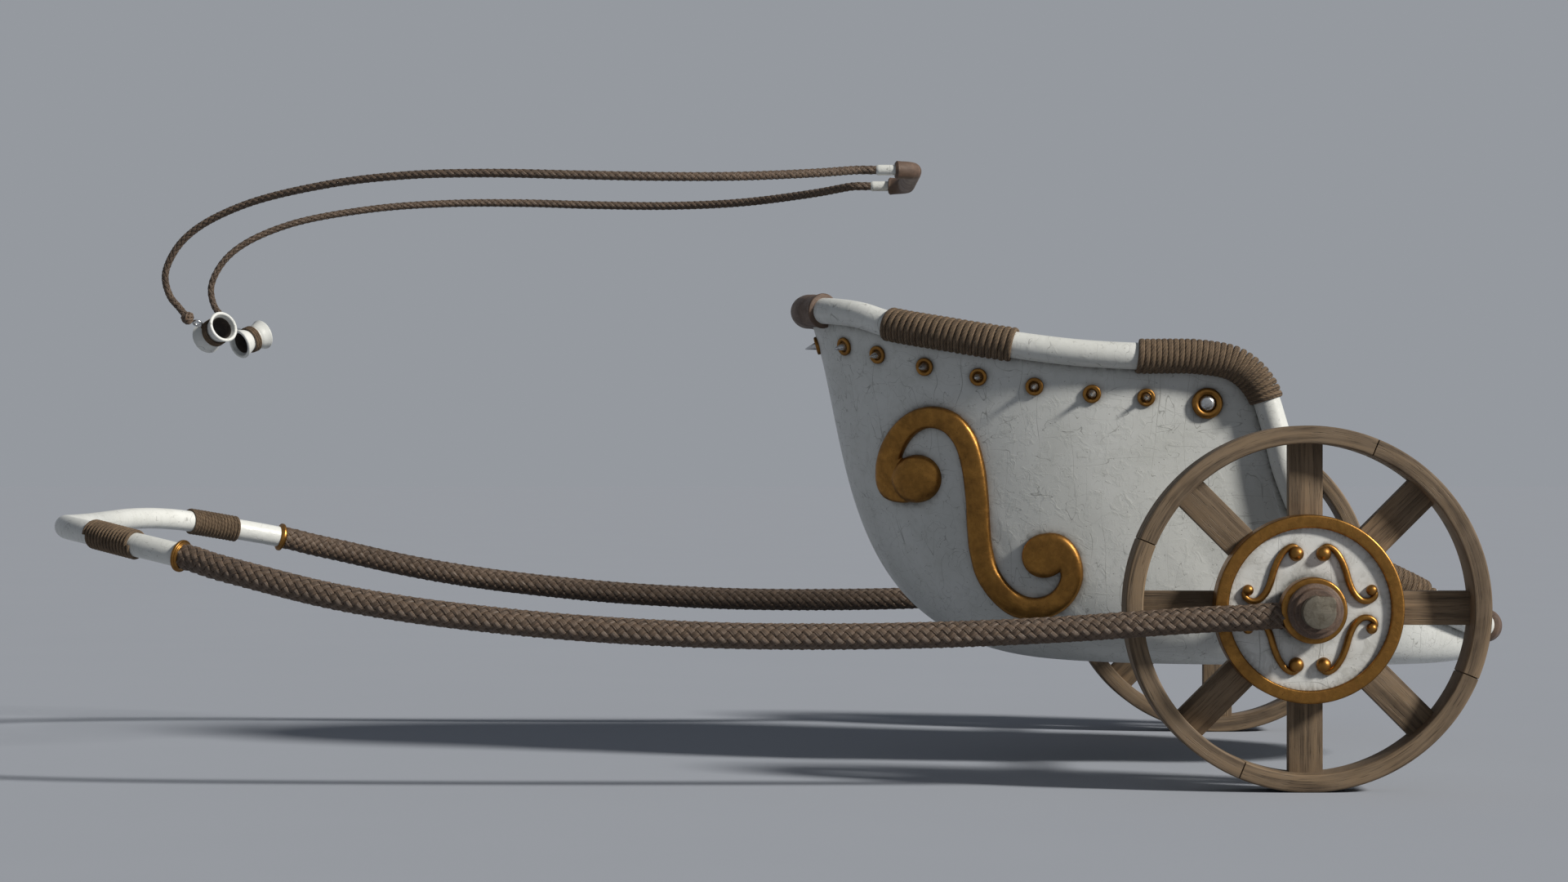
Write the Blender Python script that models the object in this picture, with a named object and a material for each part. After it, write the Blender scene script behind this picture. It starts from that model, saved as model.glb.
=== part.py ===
"""Two-wheeled chariot with its draught bow and its set of reins.

Metres, +Z up. The chariot faces -X and its left side is -Y. Every x below is
measured from the axle line, and the whole part is then shifted along X so
that the origin lies on the ground under the middle of the part's box.
"""

import math

import bmesh
import bpy
import numpy as np
from mathutils import Vector
from mathutils.bvhtree import BVHTree

UP = Vector((0, 0, 1))

# General clearances
GAP = 0.0003
CORD_SEAT = 0.00005
RUNNING_GAP = 0.0006
COVER_SLACK = 0.0016

# Axle and wheels
WHEEL_RADIUS = 0.450
RIM_DEPTH = 0.044
RIM_WIDTH = 0.120
RIM_FACE_Y = 1.010
RIM_CHAMFER = 0.006
FELLOES = 4
FELLOE_FACETS = 10
FELLOE_JOINT_ANGLE = 67.5
SPOKES = 8
SPOKE_WIDTH = 0.084
SPOKE_THICKNESS = 0.045
SPOKE_FACE_Y = 0.950
HUB_DRUM_RADIUS = 0.2316
HUB_DISC_RADIUS = 0.200
HUB_FACE_Y = 1.030
HUB_DISC_RECESS = 0.014
NAVE_RADIUS = 0.070
NAVE_INNER_Y = 0.860
NAVE_FLANGE_RADIUS = 0.088
AXLE_RADIUS = 0.030
ROUND_STEPS = 20

# Axle ends
COLLAR_RADIUS = 0.081
COLLAR_WIDTH = 0.062
CAP_RADIUS = 0.067
CAP_STEP_RADIUS = 0.054
CAP_LENGTH = 0.046
CAP_STEP_LENGTH = 0.018
PEG_RADIUS = 0.041
PEG_LENGTH = 0.042
AXLE_END_DEPTH = 0.018

# Car rail, as seen from the side and from above
RAIL_RADIUS = 0.035
CAR_HALF_WIDTH = 0.455
PROW_REACH = 1.225
PROW_WIDEST_X = -0.350
TAIL_REACH = 0.616
TAIL_WIDEST_X = 0.100
RAIL_SIDE_VIEW = (
    (-1.225, 1.214),
    (-1.092, 1.198),
    (-1.017, 1.173),
    (-0.859, 1.142),
    (-0.680, 1.112),
    (-0.522, 1.092),
    (-0.374, 1.083),
    (-0.200, 1.080),
    (-0.110, 1.060),
    (-0.050, 1.004),
    (-0.013, 0.904),
    (0.022, 0.775),
    (0.082, 0.648),
    (0.205, 0.545),
    (0.360, 0.466),
    (0.470, 0.412),
    (0.560, 0.376),
    (0.616, 0.362),
)
STATION_TURN = 24.0
STATION_STEP = 0.160
COVERED_SAG = 0.0010
NOTCH_RAMP = 0.004

# Car shell
SHELL_WALL = 0.012
SHELL_BOTTOM_Z = 0.271
SHELL_BOTTOM_HALF_WIDTH = 0.300
SHELL_BOTTOM_FRONT_X = -0.500
SHELL_BOTTOM_REAR_X = 0.520
STEM_LEAN = 0.350
SIDE_LEAN = 0.040
STEM_HANDLE = 0.360
BILGE_HANDLE = 0.930
SHELL_ROWS = 5

# Floor and step inside the car
BOLSTER_THICKNESS = 0.0194
FLOOR_THICKNESS = 0.020
FLOOR_REAR_X = 0.060
FLOOR_CLEARANCE = 0.008
STEP_THICKNESS = 0.020
STEP_FRONT_X = 0.110
STEP_CLEARANCE = 0.025
BOLSTER_LENGTH = 0.100
BOLSTER_HALF_WIDTH = 0.300

# Leather caps and cord windings on the rail
COVER_RADIUS = 0.044
COVER_BEAD = 0.003
COVER_BEAD_LENGTH = 0.012
FRONT_COVER_HALF = 0.155
TAIL_COVER_HALF = 0.140
CORD_THICKNESS = 0.0065
CORD_GAP = 0.0008
LOOP_STEPS = 8
SIDE_WRAP_BEHIND_PROW = (0.208, 0.545)
SIDE_WRAP_TURNS = 10
CORNER_WRAP_START_X = -0.374
CORNER_WRAP_LENGTH = 0.395
CORNER_WRAP_TURNS = 12
TAIL_WRAP_X = (0.270, 0.392)
TAIL_WRAP_TURNS = 5

# Spiked studs and the big rivet, along a line under the rail: the studs share the run from the
# prow to the rivet
STUD_DROP_FRONT = 0.092
STUD_DROP_REAR = 0.107
STUD_WASHER_RADIUS = 0.025
STUD_WASHER_HEIGHT = 0.006
STUD_SPIKE_RADIUS = 0.012
STUD_SPIKE_LENGTH = 0.036
STUD_ROOT = 0.005
RIVET_X = -0.185
STUD_SHARES = (0.0769, 0.1663, 0.2885, 0.4250, 0.5663, 0.7106, 0.8471)
RIVET_DROP = 0.118
RIVET_RADIUS = 0.040
RIVET_HEIGHT = 0.014
RIVET_DOME_RADIUS = 0.020
RIVET_DOME_HEIGHT = 0.012

# Side scroll, seen square on: distance behind the prow, height above the axle line
SCROLL_POINTS = 23
SCROLL_WIDTH = 0.058
SCROLL_HEIGHT = 0.020
RELIEF_ROOT = 0.004
SCROLL_ROUTE = (
    (0.225, 0.290),
    (0.218, 0.350),
    (0.240, 0.415),
    (0.280, 0.460),
    (0.325, 0.475),
    (0.375, 0.461),
    (0.413, 0.418),
    (0.435, 0.350),
    (0.446, 0.270),
    (0.451, 0.190),
    (0.457, 0.130),
    (0.473, 0.070),
    (0.511, 0.012),
    (0.563, -0.023),
    (0.617, -0.026),
    (0.665, 0.000),
    (0.693, 0.050),
    (0.691, 0.105),
    (0.663, 0.142),
)
SCROLL_UPPER_EYE = (0.277, 0.313)
SCROLL_UPPER_EYE_RADIUS = 0.074
SCROLL_LOWER_EYE = (0.621, 0.112)
SCROLL_LOWER_EYE_RADIUS = 0.058
SCROLL_EYE_HEIGHT = 0.026

# Draught bow and its shafts: x, distance from the centre plane, z
SHAFT_RADIUS = 0.033
SHAFT_DROP = 0.014
SHAFT_ROUTE = (
    (-0.150, 1.072, 0.432),
    (-0.250, 1.070, 0.428),
    (-0.410, 1.065, 0.417),
    (-0.610, 1.060, 0.403),
    (-0.810, 1.055, 0.393),
    (-1.010, 1.052, 0.387),
    (-1.210, 1.050, 0.385),
    (-1.410, 1.050, 0.387),
    (-1.610, 1.050, 0.395),
    (-1.800, 1.050, 0.407),
    (-2.000, 1.050, 0.426),
    (-2.210, 1.047, 0.452),
    (-2.410, 1.030, 0.487),
    (-2.610, 0.985, 0.534),
    (-2.700, 0.949, 0.556),
)
SHAFT_POINTS = 21
BOW_RADIUS = 0.030
BOW_ROUTE = (
    (-2.780, 0.905, 0.577),
    (-2.840, 0.873, 0.590),
    (-2.900, 0.838, 0.602),
    (-3.028, 0.742, 0.628),
    (-3.100, 0.640, 0.638),
    (-3.148, 0.480, 0.640),
    (-3.172, 0.280, 0.637),
    (-3.181, 0.000, 0.635),
)
BOW_RING_RADIUS = 0.040
BOW_RING_WIDTH = 0.016
BOW_WRAP_X = (-3.028, -2.900)
BOW_WRAP_TURNS = 8

# Reins: x, distance from the centre plane, z
REIN_RADIUS = 0.012
REIN_ROUTE = (
    (-1.090, 0.313, 1.577),
    (-1.202, 0.400, 1.563),
    (-1.413, 0.530, 1.545),
    (-1.621, 0.595, 1.540),
    (-1.829, 0.612, 1.543),
    (-2.040, 0.600, 1.548),
    (-2.251, 0.570, 1.545),
    (-2.468, 0.510, 1.525),
    (-2.692, 0.440, 1.477),
    (-2.824, 0.408, 1.415),
    (-2.880, 0.395, 1.360),
    (-2.907, 0.388, 1.295),
    (-2.895, 0.380, 1.240),
)
REIN_POINTS = 27
HANDLE_END_X = -1.044
HANDLE_HALF_WIDTH = 0.310
HANDLE_Z = 1.577
HANDLE_RADIUS = 0.014
HANDLE_REAR_X = -0.945
HANDLE_CORNER = 0.055
HANDLE_SAG = 0.0006
GRIP_RADIUS = 0.024
GRIP_START = 0.050
CUFF_CENTRE = (-2.786, 0.330, 1.148)
CUFF_AXIS = (0.640, 0.700, 0.330)
CUFF_TO_KNOT = (-0.759, 0.490, 0.428)
CUFF_LENGTH = 0.092
CUFF_FLARE_RADIUS = 0.042
CUFF_WAIST_RADIUS = 0.031
CUFF_BORE_RADIUS = 0.026
CUFF_WAIST_HALF = 0.014
CUFF_LIP = 0.006
LASHING_TURNS = 3
SHACKLE_RADIUS = 0.0105
SHACKLE_TUBE = 0.0032
KNOT_RADIUS = 0.017

# Values worked out from the sizes above
BOW_FRONT = -min(point[0] for point in BOW_ROUTE) + BOW_RADIUS
TAIL_END = TAIL_REACH + COVER_RADIUS
AXLE_X = (BOW_FRONT - TAIL_END) / 2
COLLAR_Y = HUB_FACE_Y + 0.010
CAP_Y = COLLAR_Y + COLLAR_WIDTH + RUNNING_GAP
PEG_Y = CAP_Y + CAP_LENGTH + GAP
FLOOR_TOP_Z = WHEEL_RADIUS + AXLE_RADIUS + BOLSTER_THICKNESS + FLOOR_THICKNESS + GAP * 2
EDGE_TILT = math.pi / LOOP_STEPS
EDGE_COVERED = COVER_RADIUS + COVER_BEAD + GAP
EDGE_BARE = RAIL_RADIUS * math.cos(EDGE_TILT) + GAP

FINISHES = {
    "white_paint": ((0.62, 0.63, 0.60), 0.45, 0.0),
    "bronze": ((0.33, 0.17, 0.04), 0.40, 1.0),
    "wood": ((0.23, 0.16, 0.11), 0.75, 0.0),
    "cord": ((0.15, 0.09, 0.06), 0.85, 0.0),
    "leather": ((0.16, 0.10, 0.07), 0.60, 0.0),
    "plait": ((0.17, 0.12, 0.10), 0.65, 0.0),
    "steel": ((0.60, 0.61, 0.62), 0.25, 1.0),
    "iron": ((0.33, 0.31, 0.27), 0.55, 0.6),
}


def clear_scene():
    """Remove the scene's objects."""
    for item in list(bpy.data.objects):
        bpy.data.objects.remove(item, do_unlink=True)


def make_materials():
    """Return one material for each finish."""
    made = {}
    for name, (colour, roughness, metallic) in FINISHES.items():
        finish = bpy.data.materials.new(name)
        finish.use_nodes = True
        shader = finish.node_tree.nodes["Principled BSDF"]
        shader.inputs["Base Color"].default_value = (*colour, 1.0)
        shader.inputs["Roughness"].default_value = roughness
        shader.inputs["Metallic"].default_value = metallic
        finish.diffuse_color = (*colour, 1.0)
        made[name] = finish
    return made


def add_empty(name, location, parent=None):
    """Add an empty that carries a moving group."""
    empty = bpy.data.objects.new(name, None)
    bpy.context.scene.collection.objects.link(empty)
    empty.parent = parent
    empty.location = location
    return empty


def add_solid(name, verts, faces, finish, parent, origin=(0, 0, 0), smooth=True):
    """Add a closed solid whose points are measured from the axle line."""
    mesh = bpy.data.meshes.new(name)
    shift = Vector(origin)
    mesh.from_pydata([Vector(v) - shift for v in verts], [], faces)
    shell = bmesh.new()
    shell.from_mesh(mesh)
    bmesh.ops.recalc_face_normals(shell, faces=shell.faces)
    shell.to_mesh(mesh)
    shell.free()
    if smooth:
        mesh.shade_smooth()
        mesh.set_sharp_from_angle(angle=math.radians(40))
    if finish is not None:
        mesh.materials.append(finish)
    item = bpy.data.objects.new(name, mesh)
    bpy.context.scene.collection.objects.link(item)
    item.parent = parent
    item.location = shift - carried_at(parent)
    return item


def carried_at(parent):
    """Return where an empty stands, measured from the axle line."""
    place = Vector((0, 0, 0))
    while parent is not None and parent.parent is not None:
        place += parent.location
        parent = parent.parent
    return place


def add_tube(name, points, radius, finish, parent, resolution=2):
    """Add a round tube along the points as a bevelled curve."""
    curve = bpy.data.curves.new(name, "CURVE")
    curve.dimensions = "3D"
    curve.bevel_depth = radius
    curve.bevel_resolution = resolution
    curve.render_resolution_u = 0
    curve.use_fill_caps = True
    spline = curve.splines.new("POLY")
    spline.points.add(len(points) - 1)
    for target, point in zip(spline.points, points):
        target.co = (*point, 1.0)
    curve.materials.append(finish)
    item = bpy.data.objects.new(name, curve)
    bpy.context.scene.collection.objects.link(item)
    item.parent = parent
    item.location = -carried_at(parent)
    return item


def loft(rings, closed=False):
    """Return points and faces of a skin through the rings, closed by caps or end to end."""
    count = len(rings[0])
    verts = [tuple(point) for ring in rings for point in ring]
    faces = []
    spans = len(rings) if closed else len(rings) - 1
    for row in range(spans):
        here = row * count
        there = (row + 1) % len(rings) * count
        for col in range(count):
            step = (col + 1) % count
            faces.append((here + col, here + step, there + step, there + col))
    if not closed:
        last = (len(rings) - 1) * count
        faces.append(tuple(reversed(range(count))))
        faces.append(tuple(range(last, last + count)))
    return verts, faces


def turned(profile, centre, axis, steps=ROUND_STEPS, phase=0.0):
    """Return a solid turned about an axis.

    The profile lists radius and height along the axis. It starts and ends on
    the axis with a radius of zero, or it is a closed ring clear of the axis.
    """
    axis = Vector(axis).normalized()
    turn = axis.to_track_quat("Z", "Y").to_matrix()
    centre = Vector(centre)
    solid = profile[0][0] == 0.0
    rows = profile[1:-1] if solid else profile
    rings = []
    for radius, height in rows:
        ring = []
        for step in range(steps):
            angle = 2 * math.pi * (step + phase) / steps
            point = Vector((radius * math.cos(angle), radius * math.sin(angle), height))
            ring.append(centre + turn @ point)
        rings.append(ring)
    return loft(rings, closed=not solid)


def smooth_route(points, count):
    """Return points spaced evenly along a smooth curve through the given ones."""
    route = np.array(points, dtype=float)
    chords = np.linalg.norm(np.diff(route, axis=0), axis=1)
    knots = np.concatenate(([0.0], np.cumsum(np.sqrt(chords))))
    slopes = np.gradient(route, knots, axis=0, edge_order=2)
    dense = []
    for index in range(len(route) - 1):
        span = knots[index + 1] - knots[index]
        for t in np.linspace(0, 1, 40, endpoint=False):
            a = 2 * t**3 - 3 * t**2 + 1
            b = t**3 - 2 * t**2 + t
            c = -2 * t**3 + 3 * t**2
            d = t**3 - t**2
            dense.append(a * route[index] + b * span * slopes[index]
                         + c * route[index + 1] + d * span * slopes[index + 1])
    dense.append(route[-1])
    return even_points(np.array(dense), count)


def even_points(points, count):
    """Return points at equal distances along a polyline."""
    steps = np.linalg.norm(np.diff(points, axis=0), axis=1)
    along = np.concatenate(([0.0], np.cumsum(steps)))
    wanted = np.linspace(0, along[-1], count)
    return np.column_stack([np.interp(wanted, along, points[:, k]) for k in range(points.shape[1])])


def cord_points(route, count, diameter):
    """Return points along a smooth route whose two ends run straight, so that they are square."""
    path = Path(smooth_route(route, count * 40))
    first, second, before, last = [Vector(route[k]) for k in (0, 1, -2, -1)]
    middle = np.linspace(diameter * 2, path.length - diameter * 2, count - 4)
    return [first, first + (second - first).normalized() * diameter / 2,
            *(path.at(distance) for distance in middle),
            last + (before - last).normalized() * diameter / 2, last]


class Path:
    """A smooth line that gives its place and direction at any distance along it."""

    def __init__(self, points):
        self.points = np.array(points, dtype=float)
        steps = np.linalg.norm(np.diff(self.points, axis=0), axis=1)
        self.along = np.concatenate(([0.0], np.cumsum(steps)))
        self.length = float(self.along[-1])
        self.slopes = np.gradient(self.points, self.along, axis=0)

    def read(self, table, distance):
        """Return a row of a table of values at a distance along the line."""
        return Vector([float(np.interp(distance, self.along, table[:, k])) for k in range(3)])

    def at(self, distance):
        """Return the place at a distance along the line."""
        return self.read(self.points, distance)

    def direction(self, distance):
        """Return the unit tangent at a distance along the line."""
        return self.read(self.slopes, distance).normalized()

    def distance_at_x(self, x):
        """Return the first distance at which the line reaches an x."""
        order = np.argsort(self.points[:, 0])
        return float(np.interp(x, self.points[order, 0], self.along[order]))

    def stations(self, extra=(), start=0.0, end=None, sag=1.0):
        """Return distances spaced by how far the line runs and turns, with some extra ones."""
        end = self.length if end is None else end
        picked = [start]
        heading = self.direction(start)
        for distance in np.linspace(start, end, 900)[1:-1]:
            bend = heading.angle(self.direction(distance))
            run = distance - picked[-1]
            if bend >= math.radians(STATION_TURN) or run >= STATION_STEP or run * bend / 8 >= sag:
                picked.append(float(distance))
                heading = self.direction(distance)
        picked.append(end)
        close = STATION_STEP / 8
        kept = [value for value in picked if all(abs(value - other) > close for other in extra)]
        return sorted(set(kept + [value for value in extra if start < value < end] + [start, end]))


def rail_half():
    """Return the right half of the rail's centreline, from the prow to the tail."""
    side = smooth_route(RAIL_SIDE_VIEW, 1200)
    quarter = np.linspace(0, math.pi / 2, 90)
    front = PROW_REACH + PROW_WIDEST_X
    rear = TAIL_REACH - TAIL_WIDEST_X
    xs = [PROW_WIDEST_X - front * math.cos(angle) for angle in quarter]
    widths = [CAR_HALF_WIDTH * math.sin(angle) for angle in quarter]
    for x in side[:, 0]:
        if PROW_WIDEST_X < x < TAIL_WIDEST_X:
            xs.append(x)
            widths.append(CAR_HALF_WIDTH)
    xs += [TAIL_WIDEST_X + rear * math.sin(angle) for angle in quarter]
    widths += [CAR_HALF_WIDTH * math.cos(angle) for angle in quarter]
    heights = np.interp(xs, side[:, 0], side[:, 1])
    return Path(even_points(np.column_stack([xs, widths, heights]), 1500))


def rail_height(rail, x):
    """Return the height of the rail's centreline above the ground at an x."""
    return rail.at(rail.distance_at_x(x)).z


def outward(rail, distance):
    """Return the level direction that points out of the car."""
    run = rail.direction(distance)
    level = Vector((run.y, -run.x, 0.0))
    if level.length < 0.05:
        return Vector((0, 1, 0))
    return -level.normalized()


def covers(rail):
    """Return the stretches of the rail that a leather cap or a winding goes round."""
    corner = rail.distance_at_x(CORNER_WRAP_START_X)
    return {
        "front_cap": (0.0, FRONT_COVER_HALF),
        "side_wrap": tuple(rail.distance_at_x(behind - PROW_REACH) for behind in SIDE_WRAP_BEHIND_PROW),
        "corner_wrap": (corner, corner + CORNER_WRAP_LENGTH),
        "tail_wrap": tuple(rail.distance_at_x(x) for x in TAIL_WRAP_X),
        "tail_cap": (rail.length - TAIL_COVER_HALF, rail.length),
    }


def is_covered(rail, distance):
    """Return whether a place lies inside a covered stretch of the rail."""
    return any(start < distance < end for start, end in covers(rail).values())


def rail_stations(rail):
    """Return the stations shared by the rail and the shell, with the notch corners."""
    corners = []
    covered = []
    for start, end in covers(rail).values():
        covered += covered_stations(rail, start, end)
        corners += [start - NOTCH_RAMP, end + NOTCH_RAMP]
    extra = [value for value in corners + covered if 0 < value < rail.length]
    return [value for value in rail.stations(extra) if value in extra or not is_covered(rail, value)]


def edge_distance(rail, distance):
    """Return how far the shell's edge lies from the rail's centreline."""
    for start, end in covers(rail).values():
        if start - NOTCH_RAMP * 1.5 < distance < end + NOTCH_RAMP * 1.5:
            return EDGE_COVERED
    return EDGE_BARE


def mirrored(point):
    """Return a point's mirror image across the centre plane."""
    return Vector((point[0], -point[1], point[2]))


def shell_rib(rail, distance):
    """Return the points of one rib of the shell, from the rail down to the bottom."""
    centre = rail.at(distance)
    run = rail.direction(distance)
    out = outward(rail, distance)
    down = Vector((0, 0, -1))
    down = (down - run * down.dot(run)).normalized()
    inward = (-out + run * out.dot(run)).normalized()
    start = centre + edge_distance(rail, distance) * (
        down * math.cos(EDGE_TILT) + inward * math.sin(EDGE_TILT)).normalized()
    share = (centre.x + PROW_REACH) / (PROW_REACH + TAIL_REACH)
    end = Vector((
        SHELL_BOTTOM_FRONT_X + share * (SHELL_BOTTOM_REAR_X - SHELL_BOTTOM_FRONT_X),
        SHELL_BOTTOM_HALF_WIDTH * centre.y / CAR_HALF_WIDTH,
        SHELL_BOTTOM_Z,
    ))
    lean = SIDE_LEAN + (STEM_LEAN - SIDE_LEAN) * max(0.0, -out.x)
    height = start.z - end.z
    first = start + STEM_HANDLE * height * (
        Vector((0, 0, -1)) * math.cos(lean) - out * math.sin(lean))
    sweep = max(0.02, (start - end).dot(out))
    second = end + out * BILGE_HANDLE * sweep
    points = []
    for row in range(SHELL_ROWS + 1):
        t = row / SHELL_ROWS
        points.append((1 - t)**3 * start + 3 * (1 - t)**2 * t * first
                      + 3 * (1 - t) * t**2 * second + t**3 * end)
    return points


def shell_skin(rail):
    """Return the outer skin of the shell as points and faces."""
    stations = rail_stations(rail)
    right = [shell_rib(rail, distance) for distance in stations]
    middle = [[mirrored(point) for point in rib] for rib in right[1:-1]]
    columns = right + list(reversed(middle))
    for rib in (columns[0], columns[len(right) - 1]):
        for point in rib:
            point.y = 0.0
    rows = SHELL_ROWS + 1
    last = len(right) - 1
    verts = [tuple(point) for rib in columns for point in rib]
    faces = []
    for col in range(len(columns)):
        here = col * rows
        there = (col + 1) % len(columns) * rows
        if col >= last:
            here, there = there, here
        for row in range(SHELL_ROWS):
            faces.append((here + row, here + row + 1, there + row + 1))
            faces.append((here + row, there + row + 1, there + row))
    floor = SHELL_ROWS
    for col in range(last):
        near = (len(columns) - col) % len(columns) * rows + floor
        next_near = (len(columns) - col - 1) * rows + floor
        here = col * rows + floor
        there = (col + 1) * rows + floor
        corners = [here, there]
        if next_near != there:
            corners.append(next_near)
        if near != here:
            corners.append(near)
        faces.append(tuple(corners))
    return verts, faces


def skin_hit(skin, place, direction):
    """Return where a ray meets the shell's skin and the way its surface faces."""
    hit, normal, _, _ = skin.ray_cast(Vector(place), Vector(direction))
    if normal.dot(Vector(direction)) > 0:
        normal = -normal
    return hit, normal


def stud_places(rail, skin):
    """Return the place and facing of each spiked stud on the right side, with the prow's."""
    places = []
    run = PROW_REACH + RIVET_X
    for along in (0.0, *STUD_SHARES):
        x = along * run - PROW_REACH
        distance = rail.distance_at_x(x)
        out = outward(rail, distance)
        share = max(0.0, (along - STUD_SHARES[0]) / (STUD_SHARES[-1] - STUD_SHARES[0]))
        height = rail_height(rail, x) - (STUD_DROP_FRONT + share * (STUD_DROP_REAR - STUD_DROP_FRONT))
        base = rail.at(distance)
        places.append(skin_hit(skin, (base.x + out.x, base.y + out.y, height), -out))
    return places


def stud_solid(place, facing):
    """Return one spiked stud: a washer with a cone through it."""
    profile = (
        (0.0, -STUD_ROOT),
        (STUD_WASHER_RADIUS * 0.8, -STUD_ROOT),
        (STUD_WASHER_RADIUS, 0.0),
        (STUD_WASHER_RADIUS * 0.9, STUD_WASHER_HEIGHT),
        (STUD_SPIKE_RADIUS, STUD_WASHER_HEIGHT * 0.6),
        (STUD_SPIKE_RADIUS * 0.06, STUD_SPIKE_LENGTH),
        (0.0, STUD_SPIKE_LENGTH),
    )
    return turned(profile, place, facing, steps=8)


def join_solids(solids):
    """Return several solids as one list of points and faces."""
    verts = []
    faces = []
    for points, sides in solids:
        base = len(verts)
        verts += list(points)
        faces += [tuple(base + index for index in face) for face in sides]
    return verts, faces


def add_guide(name, verts, faces, parent):
    """Add a solid that only cuts or joins another and isn't built itself."""
    guide = add_solid(name, verts, faces, None, parent, smooth=False)
    guide.hide_render = True
    guide.display_type = "WIRE"
    return guide


def add_boolean(item, other, operation):
    """Cut or join an object with a guide."""
    step = item.modifiers.new(operation.lower(), "BOOLEAN")
    step.operation = operation
    step.object = other
    step.solver = "EXACT"


def add_shell(rail, finishes, parent):
    """Add the car's shell with its wall, its studs and its holes for the axle."""
    verts, faces = shell_skin(rail)
    shell = add_solid("car_shell", verts, faces, finishes["white_paint"], parent)
    wall = shell.modifiers.new("wall", "SOLIDIFY")
    wall.thickness = SHELL_WALL
    wall.offset = -1.0
    skin = BVHTree.FromPolygons([Vector(v) for v in verts], faces)
    places = stud_places(rail, skin)
    studs = [stud_solid(place, facing) for place, facing in places]
    studs += [stud_solid(mirrored(place), mirrored(facing)) for place, facing in places[1:]]
    add_boolean(shell, add_guide("stud_guide", *join_solids(studs), parent), "UNION")
    reach = CAR_HALF_WIDTH + RAIL_RADIUS
    radius = AXLE_RADIUS + RUNNING_GAP
    profile = ((0.0, -reach), (radius, -reach), (radius, reach), (0.0, reach))
    bore = turned(profile, (0, 0, WHEEL_RADIUS), (0, 1, 0))
    add_boolean(shell, add_guide("axle_hole_guide", *bore, parent), "DIFFERENCE")
    seat = add_guide("relief_seat_guide", verts, faces, parent)
    depth = seat.modifiers.new("seat", "SOLIDIFY")
    depth.thickness = SHELL_WALL * 2 + GAP
    depth.offset = 2 * GAP / depth.thickness - 1
    return skin, seat


def board_outline(rail, level, inset, keep):
    """Return the level outline of a board that fits inside the shell."""
    right = []
    for distance in rail.stations():
        rib = shell_rib(rail, distance)
        if rib[0].z <= level:
            continue
        heights = [point.z for point in reversed(rib)]
        x = float(np.interp(level, heights, [point.x for point in reversed(rib)]))
        y = float(np.interp(level, heights, [point.y for point in reversed(rib)]))
        out = outward(rail, distance)
        lower = max(point.z for point in rib if point.z <= level)
        above, below = next((a, b) for a, b in zip(rib, rib[1:]) if b.z == lower)
        fall = (above - below).normalized()
        spot = Vector((x, y, 0)) - out * (SHELL_WALL + inset) / max(0.2, abs(fall.z))
        if keep(spot.x) and spot.y > 0.01:
            right.append(spot)
    return right


def add_board(name, right, level, thickness, finish, parent, ends):
    """Add a level board from the right half of its outline and its end positions."""
    front, rear = ends
    if front is not None:
        right = [Vector((front, right[0].y, 0))] + right
    if rear is not None:
        right = right + [Vector((rear, right[-1].y, 0))]
    outline = right + [mirrored(point) for point in reversed(right)]
    rings = [[(p.x, p.y, z) for p in outline] for z in (level, level + thickness)]
    add_solid(name, *loft(rings), finish, parent, smooth=False)


def add_floor(rail, finishes, parent):
    """Add the standing floor over the axle, the lower rear step and the axle's bolster."""
    level = FLOOR_TOP_Z - FLOOR_THICKNESS
    outline = board_outline(rail, level, FLOOR_CLEARANCE, lambda x: x < FLOOR_REAR_X - 0.02)
    add_board("floor_board", outline, level, FLOOR_THICKNESS, finishes["wood"], parent,
              (None, FLOOR_REAR_X))
    low = SHELL_BOTTOM_Z + SHELL_WALL + RUNNING_GAP
    outline = board_outline(rail, low, STEP_CLEARANCE, lambda x: x > STEP_FRONT_X + 0.02)
    add_board("rear_step", outline, low, STEP_THICKNESS, finishes["wood"], parent,
              (STEP_FRONT_X, None))
    seat = WHEEL_RADIUS + AXLE_RADIUS + GAP
    rings = []
    for z in (seat, level - GAP):
        rings.append([(x, y, z) for x, y in (
            (-BOLSTER_LENGTH / 2, -BOLSTER_HALF_WIDTH),
            (BOLSTER_LENGTH / 2, -BOLSTER_HALF_WIDTH),
            (BOLSTER_LENGTH / 2, BOLSTER_HALF_WIDTH),
            (-BOLSTER_LENGTH / 2, BOLSTER_HALF_WIDTH),
        )])
    add_solid("axle_bolster", *loft(rings), finishes["wood"], parent, smooth=False)


def across_frame(run, lead):
    """Return two unit vectors square to a direction, the first nearest to a lead."""
    first = (lead - run * lead.dot(run)).normalized()
    return first, run.cross(first).normalized()


def over(radius, gap):
    """Return the corner radius of a faceted layer that clears a faceted tube by a gap."""
    return radius + gap / math.cos(math.pi / LOOP_STEPS)


def section(path, distance, radius):
    """Return the ring of corners round a path, the first of them uppermost."""
    run = path.direction(distance)
    first, second = across_frame(run, UP)
    centre = path.at(distance)
    return [centre + radius * (math.cos(2 * math.pi * k / LOOP_STEPS) * first
                               + math.sin(2 * math.pi * k / LOOP_STEPS) * second)
            for k in range(LOOP_STEPS)]


def tube(path, stations, radius, closed=False):
    """Return a round bar that follows a path."""
    return loft([section(path, distance, radius) for distance in stations], closed)


def sleeve(path, stations, inner, outer):
    """Return a sleeve round a path, with its outer radius given at each station."""
    rings = [section(path, distance, radius) for distance, radius in zip(stations, outer)]
    rings += [section(path, distance, inner) for distance in reversed(stations)]
    return loft(rings, closed=True)


def both_sides(half):
    """Return a path along a right half and back along its mirror image."""
    return Path(np.vstack([half.points, (half.points * np.array([1, -1, 1]))[-2::-1]]))


def both_ways(stations, middle):
    """Return stations up to a middle, and their like beyond it."""
    before = [distance for distance in stations if distance < middle]
    return before + [middle] + [2 * middle - distance for distance in reversed(before)]


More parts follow.
